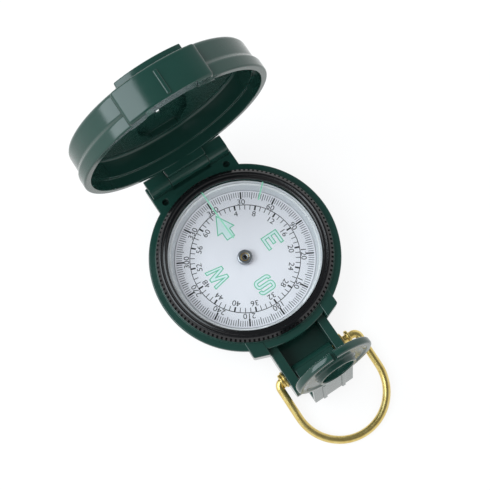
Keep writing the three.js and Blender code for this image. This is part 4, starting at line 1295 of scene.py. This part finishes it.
@dataclass
class Dial:
    """Printed card with its scales, figures, letters and arrow."""

    finishes: Finishes
    turn: float = 0.84
    radius: float = 21.0
    bottom: float = 6.3
    top: float = 6.8
    hole: float = 1.8
    film: float = 0.03
    scale_radius: float = 20.5
    fine_from: float = 18.82
    ten_from: float = 18.35
    bold_from: float = 18.25
    mil_radius: float = 16.46
    mil_to: float = 15.0
    mil_count: int = 64
    degree_figures: float = 17.35
    mil_figures: float = 13.8
    figure_height: float = 1.68
    figure_share: float = 0.73
    figure_width: float = 1.1
    figure_weight: float = -0.004
    outline: float = 0.27
    letter_low: float = 7.05
    letter_high: float = 12.5
    stroke: float = 1.15
    east_left: float = -2.3
    east_right: float = 2.25
    east_middle: float = 1.3
    west_tops: Point = (0.58, 1.9, 3.05)
    west_feet: Point = (0.85, 2.05)
    west_crotch: Point = (1.42, 2.2)
    west_peak: float = 2.9
    south_half: float = 0.58
    south_bend: float = 0.75
    south_bend_steps: int = 6
    south_tail: float = 0.36
    south_width: float = 5.6
    south_rise: float = 0.4
    south_shift: float = -0.25
    arrow_tip: float = 15.9
    arrow_barb: Point = (3.1, 10.15)
    arrow_shaft: float = 1.45
    arrow_tail: float = 7.45

    def build(self) -> None:
        """Build the card and its printing."""
        card = Form.ring((self.hole, self.radius), (self.bottom, self.top), (0, 0.1))
        card.piece("dial_card_disc", Body.DIAL, Slot.CARD, self.finishes.card, ["dial_card"])
        black = self.finishes.black_ink
        mint = [self.finishes.mint_ink, self.finishes.pale_ink]
        for name, form, ink in (
            ("dial_scales", self.degree_scale().with_loose(self.mil_scale()), black),
            ("dial_figures", self.figures(), black),
            ("dial_letters", self.letters(), mint),
            ("dial_north_arrow", self.arrow(), mint),
        ):
            form.moved(spun(self.turn)).piece(name, Body.DIAL, Slot.CARD, ink)

    def _tick(self, form: Form, degrees: float, near: float, far: float, weight: Weight) -> None:
        """Add one radial tick.

        Args:
            form: Scale that it belongs to.
            degrees: Its place, clockwise from north.
            near: Radius at which it starts.
            far: Radius at which it ends.
            weight: Weight of its stroke.
        """
        size = Matrix.Diagonal((weight.value, far - near, self.film, 1))
        place = Matrix.Translation((0, (near + far) / 2, self.top + self.film / 2))
        form.add_cube(spun(-degrees) @ place @ size)

    def degree_scale(self) -> Form:
        """Print the degree scale.

        Returns:
            Ticks every two degrees, longer at ten and bold at thirty.
        """
        form = Form()
        for degrees in range(0, 360, 2):
            start, weight = self.fine_from, Weight.FINE
            if degrees % 30 == 0:
                start, weight = self.bold_from, Weight.BOLD
            elif degrees % 10 == 0:
                start, weight = self.ten_from, Weight.LINE
            self._tick(form, degrees, start, self.scale_radius, weight)
        return form

    def mil_scale(self) -> Form:
        """Print the mil scale.

        Returns:
            Its circle and its inward ticks.
        """
        half = Weight.LINE.value / 2
        inner, outer = self.mil_radius - half, self.mil_radius + half
        form = Form.ring((inner, outer), (self.top, self.top + self.film))
        for index in range(1, self.mil_count):
            weight = Weight.LINE if index % 4 else Weight.BOLD
            self._tick(form, index * 360 / self.mil_count, self.mil_to, inner, weight)
        return form

    def figures(self) -> Form:
        """Print the numbers, their tops outward.

        Returns:
            Degree numbers outside the mil circle and mil numbers inside it.
        """
        form = Form()
        for degrees in range(30, 361, 30):
            form.with_loose(self._figure(str(degrees), degrees, self.degree_figures))
        for mils in range(4, self.mil_count, 4):
            form.with_loose(self._figure(str(mils), mils * 360 / self.mil_count, self.mil_figures))
        return form

    def _figure(self, text: str, degrees: float, radius: float) -> Form:
        """Print one number.

        Args:
            text: Its figures.
            degrees: Its place, clockwise from north.
            radius: Radius of its centre.

        Returns:
            The number as a thin film.
        """
        curve = bpy.data.curves.new("figure", "FONT")
        curve.body = text
        curve.align_x = "CENTER"
        curve.align_y = "CENTER"
        curve.size = self.figure_height / self.figure_share
        curve.offset = self.figure_weight
        curve.extrude = self.film / 2
        curve.resolution_u = 4
        thing = placed("figure", curve)
        form = Form().take(thing)
        bpy.data.objects.remove(thing)
        bpy.data.curves.remove(curve)
        form.moved(Matrix.Diagonal((self.figure_width, 1, 1, 1)))
        form.shifted(y=radius, z=self.top + self.film / 2)
        return form.moved(spun(-degrees))

    def _outlined(self, form: Form) -> Form:
        """Give a flat sign its outline, its paler middle and its film.

        Args:
            form: The flat sign.

        Returns:
            The same form.
        """
        form.mesh.normal_update()
        faces = form.mesh.faces[:]
        bmesh.ops.inset_individual(form.mesh, faces=faces, thickness=self.outline, use_even_offset=True)
        for face in faces:
            face.material_index = 1
        return form.raised(self.film).shifted(z=self.top).sewn()

    def _sign(self, corners: Sequence[Point]) -> Form:
        """Print an outlined sign.

        Args:
            corners: Its corners, anticlockwise or clockwise.

        Returns:
            The sign.
        """
        form = Form()
        form.mesh.faces.new([form.mesh.verts.new((x, y, 0)) for x, y in corners])
        return self._outlined(form)

    def letters(self) -> Form:
        """Print the letters, their tops outward.

        Returns:
            Outlined letters for east, south and west.
        """
        made = Form()
        for degrees, sign in ((90, self._letter_e()), (180, self._letter_s()), (270, self._letter_w())):
            made.with_loose(sign.moved(spun(-degrees)))
        return made

    def _letter_e(self) -> Form:
        """Print the letter for east.

        Returns:
            The letter, before it is turned to its place.
        """
        low, high, width = self.letter_low, self.letter_high, self.stroke
        left, right, short = self.east_left, self.east_right, self.east_middle
        stem = left + width
        middle = (low + high) / 2
        return self._sign(
            [
                (left, low),
                (right, low),
                (right, low + width),
                (stem, low + width),
                (stem, middle - width / 2),
                (short, middle - width / 2),
                (short, middle + width / 2),
                (stem, middle + width / 2),
                (stem, high - width),
                (right, high - width),
                (right, high),
                (left, high),
            ]
        )

    def _letter_w(self) -> Form:
        """Print the letter for west.

        Returns:
            The letter, before it is turned to its place.
        """
        low, high = self.letter_low, self.letter_high
        inner, near, far = self.west_tops
        foot_near, foot_far = self.west_feet
        crotch_x, crotch_rise = self.west_crotch
        right = [
            (inner, high),
            (crotch_x, low + crotch_rise),
            (near, high),
            (far, high),
            (foot_far, low),
            (foot_near, low),
        ]
        return self._sign([*right, (0, low + self.west_peak), *mirrored(right)])

    def _letter_s(self) -> Form:
        """Print the letter for south as a ribbon that is drawn out and bent, with short tails at its ends.

        Returns:
            The letter, before it is turned to its place.
        """
        form = Form()
        half, bend, tail = self.south_half, self.south_bend, self.south_tail
        side = self.south_width / 2 - half
        low, high = self.letter_low + self.south_rise + half, self.letter_high - half
        middle = (low + high) / 2
        inner = side - bend
        run, drop = 2 * inner, high - middle - 2 * bend
        ends = [form.mesh.verts.new((side + way * half, high - bend - tail, 0)) for way in (-1, 1)]
        edge = [form.mesh.edges.new(ends)]
        for along, centre, way in (
            ((0, tail, 0), (inner, high - bend, 0), 1),
            ((-run, 0, 0), (-inner, high - bend, 0), 1),
            ((0, -drop, 0), (-inner, middle + bend, 0), 1),
            ((run, 0, 0), (inner, middle - bend, 0), -1),
            ((0, -drop, 0), (inner, low + bend, 0), -1),
            ((-run, 0, 0), (-inner, low + bend, 0), -1),
        ):
            edge = form.bent(form.drawn(edge, along), centre, way * QUARTER_TURN, self.south_bend_steps)
        form.drawn(edge, (0, tail, 0))
        form.sewn()
        bmesh.ops.dissolve_faces(form.mesh, faces=form.mesh.faces[:])
        return self._outlined(form).shifted(x=self.south_shift)

    def arrow(self) -> Form:
        """Print the outlined north arrow.

        Returns:
            The arrow.
        """
        wide, barb = self.arrow_barb
        shaft, tail = self.arrow_shaft, self.arrow_tail
        left = [(-wide, barb), (-shaft, barb), (-shaft, tail)]
        return self._sign([(0, self.arrow_tip), *left, *mirrored(left)])


@dataclass
class Hub:
    """Turned hub of the card, with the gilt setting and the dark jewel in its dish."""

    finishes: Finishes
    shank_low: float = 4.8
    shank: float = 1.7
    bore: float = 0.95
    card_top: float = 6.8
    radius: float = 2.25
    top: float = 8.7
    recess: float = 7.8
    dish_mouth: float = 1.34
    dish_throat: float = 1.27
    throat_depth: float = 0.35
    dish_wall: float = 1.4
    wall_depth: float = 0.45
    setting_bore: float = 0.7
    setting_foot: float = 1.3
    setting_outer: float = 1.25
    setting_inner: float = 1.06
    foot_depth: float = 0.6
    shoulder_depth: float = 0.55
    rim_depth: float = 0.05
    ledge_depth: float = 0.75
    bed_depth: float = 0.8
    cup_outer: float = 1.05
    cup_inner: float = 0.6
    cup_lip: float = 0.62
    cup_bed: Point = (0.74, 0.72)
    cup_rim: Point = (0.36, 0.32)
    stone_low: float = 7.9
    stone_radius: float = 0.6
    stone_flat: float = 0.35
    stone_hollow: float = 0.25
    stone_girdle: float = 0.3
    stone_crown: float = 0.42

    def build(self) -> None:
        """Build the hub, the setting, the cup and the jewel."""
        looks = self.finishes
        for name, slot, finish, nodes, profile, closed in (
            ("dial_hub_turning", Slot.STEEL, looks.hub, ["dial_hub"], self.hub(), True),
            ("jewel_setting_ring", Slot.BRASS, looks.gilt, ["jewel_setting"], self.setting(), True),
            ("jewel_cup_ring", Slot.STEEL, looks.hub, [], self.cup(), True),
            ("jewel_stone", Slot.JEWEL, looks.jewel, ["jewel"], self.stone(), False),
        ):
            Form.turned(profile, SMALL_STEPS, closed).piece(name, Body.DIAL, slot, finish, nodes)

    def hub(self) -> list[Point]:
        """Draw the hub.

        Returns:
            Its profile, with the shank through the card and the dish in its top.
        """
        return [
            (self.bore, self.shank_low),
            (self.shank, self.shank_low, 0.1),
            (self.shank, self.card_top),
            (self.radius, self.card_top, 0.1),
            (self.radius, self.top, 0.4),
            (self.dish_mouth, self.top, 0.1),
            (self.dish_throat, self.top - self.throat_depth),
            (self.dish_wall, self.top - self.wall_depth),
            (self.dish_wall, self.recess),
            (self.bore, self.recess),
        ]

    def setting(self) -> list[Point]:
        """Draw the gilt setting.

        Returns:
            The profile of a thin ring that stands on a wider foot.
        """
        return [
            (self.setting_bore, self.recess),
            (self.setting_foot, self.recess),
            (self.setting_foot, self.top - self.foot_depth),
            (self.setting_outer, self.top - self.shoulder_depth),
            (self.setting_outer, self.top - self.rim_depth, 0.06),
            (self.setting_inner, self.top - self.rim_depth, 0.06),
            (self.setting_inner, self.top - self.ledge_depth),
            (self.setting_bore, self.top - self.bed_depth),
        ]

    def cup(self) -> list[Point]:
        """Draw the small steel cup round the jewel.

        Returns:
            Its profile.
        """
        (bed_near, bed_far), (rim_near, rim_far) = self.cup_bed, self.cup_rim
        return [
            (self.cup_inner, self.top - bed_near),
            (self.cup_outer, self.top - bed_far),
            (self.cup_outer, self.top - rim_far),
            (self.cup_lip, self.top - rim_near, 0.08),
        ]

    def stone(self) -> list[Point]:
        """Draw the jewel.

        Returns:
            Its profile, hollow below and domed above.
        """
        low = self.stone_low
        return [
            (0, low + self.stone_hollow),
            (self.stone_flat, low),
            (self.stone_radius, low),
            (self.stone_radius, low + self.stone_girdle, 0.15),
            (0, low + self.stone_crown),
        ]


@dataclass
class Bracket:
    """Lens bracket, drawn folded with its barrel on the origin and then raised to its place."""

    finishes: Finishes
    raised_degrees: float = 81.0
    half: float = 6.5
    barrel: float = 2.15
    barrel_half: float = 6.75
    bore: float = 1.65
    leg_back: float = 0.3
    leg_front: float = 2.9
    neck_low: float = 9.7
    neck_high: float = 10.8
    neck_end: float = 26.9
    rib_x: float = 3.15
    rib_half: float = 0.6
    rib_low: float = 10.25
    rib_high: float = 11.1
    rib_from: float = 0.0
    rib_to: float = 15.7
    disc_y: float = 33.0
    disc_radius: float = 11.1
    disc_low: float = 10.5
    disc_high: float = 12.45
    disc_round: float = 0.6
    rim_inner: float = 9.4
    dish_radius: float = 8.7
    dish: float = 12.1
    collar_foot: float = 5.7
    collar_radius: float = 5.45
    collar_high: float = 13.55
    holder_radius: float = 6.6
    holder_low: float = 9.9
    eye: float = 4.65
    eye_lead: float = 0.2
    seat: float = 5.5
    seat_high: float = 11.6
    lens_radius: float = 5.35
    lens_low: float = 10.55
    lens_edge: float = 11.45
    dome_radius: float = 4.5
    dome_high: float = 0.6
    dome_steps: int = 8
    retainer_inner: float = 4.6
    retainer_high: float = 10.4
    sight_half: float = 0.55
    sight_depth: float = 1.5

    def build(self) -> None:
        """Build the bracket, its lens and the lens's retaining ring, and raise them."""
        body = self.leg().join(self.disc())
        body.cut(Form.drill(self.bore, self.half), self.eye_opening(), self.sight())
        radii, heights = (self.retainer_inner, self.lens_radius), (self.holder_low, self.retainer_high)
        retainer = Form.ring(radii, heights, (0.12, 0), LENS_STEPS).shifted(y=self.disc_y)
        raised = Matrix.Translation((0, AXIS_Y, AXIS_Z)) @ spun(self.raised_degrees, "X")
        looks = self.finishes
        for form, name, slot, finish, node in (
            (body, "bracket_moulding", Slot.GREEN, looks.green, "lens_bracket"),
            (self.lens(), "magnifier_glass", Slot.CLEAR, looks.lens, "magnifier_lens"),
            (retainer, "lens_retaining_ring", Slot.BLACK, looks.black, "lens_retainer"),
        ):
            form.moved(raised).piece(name, Body.BRACKET, slot, finish, [node])

    def lens(self) -> Form:
        """Turn the magnifier lens.

        Returns:
            The lens, flat on one side and domed on the other.
        """
        radii = [self.dome_radius * (1 - i / self.dome_steps) for i in range(self.dome_steps + 1)]
        dome = [(r, self.lens_edge + self.dome_high * (1 - (r / self.dome_radius) ** 2)) for r in radii]
        edge = [(0, self.lens_low), (self.lens_radius, self.lens_low), (self.lens_radius, self.lens_edge)]
        return Form.turned(edge + dome, LENS_STEPS).shifted(y=self.disc_y)

    def leg(self) -> Form:
        """Build the lower part of the bracket.

        Returns:
            The barrel, the leg, the neck and the two ribs of the neck.
        """
        leg = Form.block((-self.half, self.leg_back, 0), (self.half, self.leg_front, self.neck_high), 0.3)
        low, high = (-self.half, self.leg_back, self.neck_low), (self.half, self.neck_end, self.neck_high)
        leg.join(Form.block(low, high, 0.3), Form.bar(self.barrel, -self.barrel_half, self.barrel_half, 0.2))
        for x in (-self.rib_x, self.rib_x):
            rib = Form.block(
                (x - self.rib_half, self.rib_from, self.rib_low),
                (x + self.rib_half, self.rib_to, self.rib_high),
                0.18,
            )
            leg.join(rib)
        return leg

    def disc(self) -> Form:
        """Turn the round head.

        Returns:
            A dished disc with a raised eye collar, and the lens holder behind it.
        """
        disc = Form.turned(
            [
                (0, self.holder_low),
                (self.holder_radius, self.holder_low, 0.2),
                (self.holder_radius, self.disc_low, 0.2),
                (self.disc_radius, self.disc_low, self.disc_round),
                (self.disc_radius, self.disc_high, self.disc_round),
                (self.rim_inner, self.disc_high, 0.25),
                (self.dish_radius, self.dish, 0.35),
                (self.collar_foot, self.dish, 0.6),
                (self.collar_radius, self.collar_high, 0.2),
                (0, self.collar_high),
            ]
        )
        return disc.shifted(y=self.disc_y)

    def eye_opening(self) -> Form:
        """Make the tool for the eye opening.

        Returns:
            The tool, with a softened lip and the lens seat on the inner side.
        """
        below, above = self.holder_low - OVERRUN, self.collar_high + OVERRUN
        lip = self.eye + self.eye_lead
        opening = Form.turned(
            [
                (0, below),
                (self.seat, below),
                (self.seat, self.seat_high),
                (self.eye, self.seat_high),
                (self.eye, self.collar_high - self.eye_lead, 0.1),
                (lip, self.collar_high + MOUTH_RISE),
                (lip, above),
                (0, above),
            ]
        )
        return opening.shifted(y=self.disc_y)

    def sight(self) -> Form:
        """Make the tool for the sighting notch in the top of the head.

        Returns:
            The tool.
        """
        end = self.disc_y + self.disc_radius
        return Form.block(
            (-self.sight_half, end - self.sight_depth, self.disc_low - OVERRUN),
            (self.sight_half, end + OVERRUN, self.disc_high + OVERRUN),
        )


@dataclass
class Loop:
    """Brass thumb loop and the two eyelets that it swings in."""

    finishes: Finishes
    droop_degrees: float = 7.0382
    wire: float = 1.15
    wire_steps: int = 24
    half: float = 13.9
    reach: float = 25.3
    slide: float = 1.35
    bend: float = 1.7
    bend_steps: int = 12
    bow_steps: int = 80
    end_x: float = 6.75
    collar_starts: Point = (-11.4, 11.85)
    collar_length: float = 0.85
    collar_radius: float = 2.1
    eyelet_bore: float = 1.3
    eyelet_tube: float = 1.55
    eyelet_tail: float = 4.1
    flange_start: float = 9.85
    flange_end: float = 10.5
    flange_radius: float = 2.45

    def build(self) -> None:
        """Build the loop and its eyelets."""
        loop = self.wire_form()
        for start in self.collar_starts:
            loop.join(Form.bar(self.collar_radius, start, start + self.collar_length, 0.2))
        loop.moved(Matrix.Translation((0, AXIS_Y, AXIS_Z)) @ spun(self.droop_degrees, "X"))
        loop.piece("thumb_loop_wire", Body.LOOP, Slot.BRASS, self.finishes.brass, ["thumb_loop"])
        for name, side in (("left", -1), ("right", 1)):
            eyelet = self.eyelet().moved(Matrix.Rotation(side * QUARTER_TURN, 4, "Y"))
            eyelet.shifted(y=AXIS_Y, z=AXIS_Z)
            node = f"bail_eyelet_{name}"
            eyelet.piece(f"eyelet_{name}", Body.CASE, Slot.BRASS, self.finishes.brass, [node])

    def wire_form(self) -> Form:
        """Bend the round wire from its left end to its right end.

        Returns:
            The loop, before it droops to its place.
        """
        form = Form()
        left, right = self.slide - self.half, self.slide + self.half
        leg_end = self.half - self.reach
        bend = self.bend
        upright = Matrix.Translation((-self.end_x, 0, 0)) @ ALONG_X
        bmesh.ops.create_circle(form.mesh, segments=self.wire_steps, radius=self.wire, matrix=upright)
        end = form.mesh.edges[:]
        bmesh.ops.contextual_create(form.mesh, geom=end)
        for along, centre, angle, steps in (
            ((left + bend + self.end_x, 0, 0), (left + bend, -bend, 0), QUARTER_TURN, self.bend_steps),
            ((0, leg_end + bend, 0), (self.slide, leg_end, 0), math.pi, self.bow_steps),
            ((0, -leg_end - bend, 0), (right - bend, -bend, 0), QUARTER_TURN, self.bend_steps),
        ):
            end = form.bent(form.drawn(end, along), centre, angle, steps)
        end = form.drawn(end, (self.end_x - right + bend, 0, 0))
        bmesh.ops.contextual_create(form.mesh, geom=end)
        return form.sewn()

    def eyelet(self) -> Form:
        """Turn a flanged eyelet.

        Returns:
            The eyelet, along Z.
        """
        return Form.turned(
            [
                (self.eyelet_bore, self.eyelet_tail),
                (self.eyelet_tube, self.eyelet_tail),
                (self.eyelet_tube, self.flange_start),
                (self.flange_radius, self.flange_start, 0.12),
                (self.flange_radius, self.flange_end, 0.15),
                (self.eyelet_bore, self.flange_end, 0.1),
            ],
            SMALL_STEPS,
            closed=True,
        )


@dataclass
class HiddenParts:
    """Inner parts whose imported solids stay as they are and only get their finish."""

    finishes: Finishes

    def build(self) -> None:
        """Dress the inner parts."""
        dressed = {
            "dial_magnet": self.finishes.magnet,
            "pivot_post": self.finishes.brass,
            "pivot_pin": self.finishes.steel,
            "fill_plug": self.finishes.plug,
            "bezel_snap_ring": self.finishes.steel,
            "bezel_click_spring": self.finishes.steel,
        }
        for node, material in dressed.items():
            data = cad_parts[node].data
            data.materials.clear()
            data.materials.append(material)
            LOG.info("node %s dressed", node)


@dataclass
class Studio:
    """Pale floor, light tent, softbox and the camera at the photograph's viewpoint."""

    camera_place: Point = (-26.34, -52.598, 260.384)
    camera_degrees: Point = (13.824, 1.568, -33.331)
    focal_share: float = 876.19 / 490
    sensor: float = 36.0
    near_clip: float = 0.01
    far_clip: float = 100.0
    floor_side: float = 6000.0
    floor_drop: float = 0.02
    floor_glow: float = 0.85
    floor_colour: Colour = (0.92, 0.92, 0.92, 1)
    tent_light: float = 0.97
    tent_colour: Colour = (0.94, 0.97, 1.0, 1)
    tent_fall: Point = (0.3, 0.85)
    tent_low: float = 0.12
    softbox_place: Point = (-330, 150, 440)
    softbox_power: float = 2.5
    softbox_side: float = 420.0
    softbox_colour: Point = (0.86, 0.95, 1.0)

    def build(self) -> None:
        """Set up the camera, floor, tent and softbox."""
        bpy.context.scene.view_settings.view_transform = "Standard"
        self.camera()
        self.floor()
        self.tent()
        self.softbox()

    def camera(self) -> None:
        """Place the camera that was solved from the photograph."""
        data = bpy.data.cameras.new("view")
        data.sensor_width = self.sensor
        data.lens = self.focal_share * self.sensor
        data.clip_start = self.near_clip
        data.clip_end = self.far_clip
        thing = placed("view", data)
        thing.location = Vector(self.camera_place) * MM
        thing.rotation_euler = [math.radians(angle) for angle in self.camera_degrees]
        bpy.context.scene.camera = thing

    def floor(self) -> None:
        """Lay the white floor, which keeps a faint shadow."""
        form = Form()
        bmesh.ops.create_grid(form.mesh, x_segments=1, y_segments=1, size=self.floor_side / 2 * MM)
        data = form.data("floor")
        form.mesh.free()
        thing = placed("floor", data)
        thing.location.z = -self.floor_drop * MM
        desk = Desk.of_material("floor_white")
        cloth = desk.node("ShaderNodeBsdfDiffuse", {"Color": self.floor_colour})
        glow = desk.node("ShaderNodeEmission", {"Color": WHITE, "Strength": 1.0})
        path = desk.node("ShaderNodeLightPath").outputs
        looked_at = desk.combined("MULTIPLY", path["Is Camera Ray"], self.floor_glow)
        data.materials.append(desk.shown(desk.mixed(self._seen(desk, path, looked_at), cloth, glow)))

    def _seen(self, desk: Desk, path: "bpy.types.NodeOutputs", looked_at: Socket) -> Socket:
        """Find how far a surface shows its own white.

        Args:
            desk: Desk that the nodes are laid on.
            path: Outputs of its Light Path node.
            looked_at: Share for rays from the camera.

        Returns:
            That share, or 1 for rays from gloss and through glass, and 0 for diffuse light.
        """
        share = looked_at
        for name in ("Is Glossy Ray", "Is Transmission Ray"):
            share = desk.combined("MAXIMUM", share, path[name])
        return share

    def tent(self) -> None:
        """Make the world a white tent: white where it is seen, and dimmer overhead in reflections."""
        world = bpy.data.worlds.new("tent")
        bpy.context.scene.world = world
        desk = Desk(world, "ShaderNodeOutputWorld")
        path = desk.node("ShaderNodeLightPath").outputs
        looked_at = path["Is Camera Ray"]
        split = desk.node("ShaderNodeSeparateXYZ", {0: desk.places["Generated"]})
        start, end = self.tent_fall
        limits = {"From Min": start, "From Max": end, "To Min": 1.0, "To Max": self.tent_low}
        fall = desk.node(
            "ShaderNodeMapRange", {"Value": split.outputs["Z"], **limits}, interpolation_type="SMOOTHSTEP"
        )
        strength = desk.combined("MAXIMUM", fall.outputs["Result"], looked_at)
        shown = desk.node("ShaderNodeBackground", {"Color": WHITE, "Strength": strength})
        light = desk.node("ShaderNodeBackground", {"Color": self.tent_colour, "Strength": self.tent_light})
        desk.shown(desk.mixed(self._seen(desk, path, looked_at), light, shown))

    def softbox(self) -> None:
        """Hang the square softbox, facing the compass."""
        data = bpy.data.lights.new("key", "AREA")
        data.shape = "SQUARE"
        data.size = self.softbox_side * MM
        data.energy = self.softbox_power
        data.color = self.softbox_colour
        thing = placed("key", data)
        thing.location = Vector(self.softbox_place) * MM
        thing.rotation_euler = (-thing.location).to_track_quat("-Z", "Y").to_euler()


def main() -> None:
    """Build the studio and every part of the compass."""
    logging.basicConfig(level=logging.INFO, format="%(name)s: %(message)s")
    Studio().build()
    finishes = Finishes()
    for part in (Case, Cover, Bezel, Capsule, Dial, Hub, Bracket, Loop, HiddenParts):
        part(finishes).build()


if __name__ == "__main__":
    main()
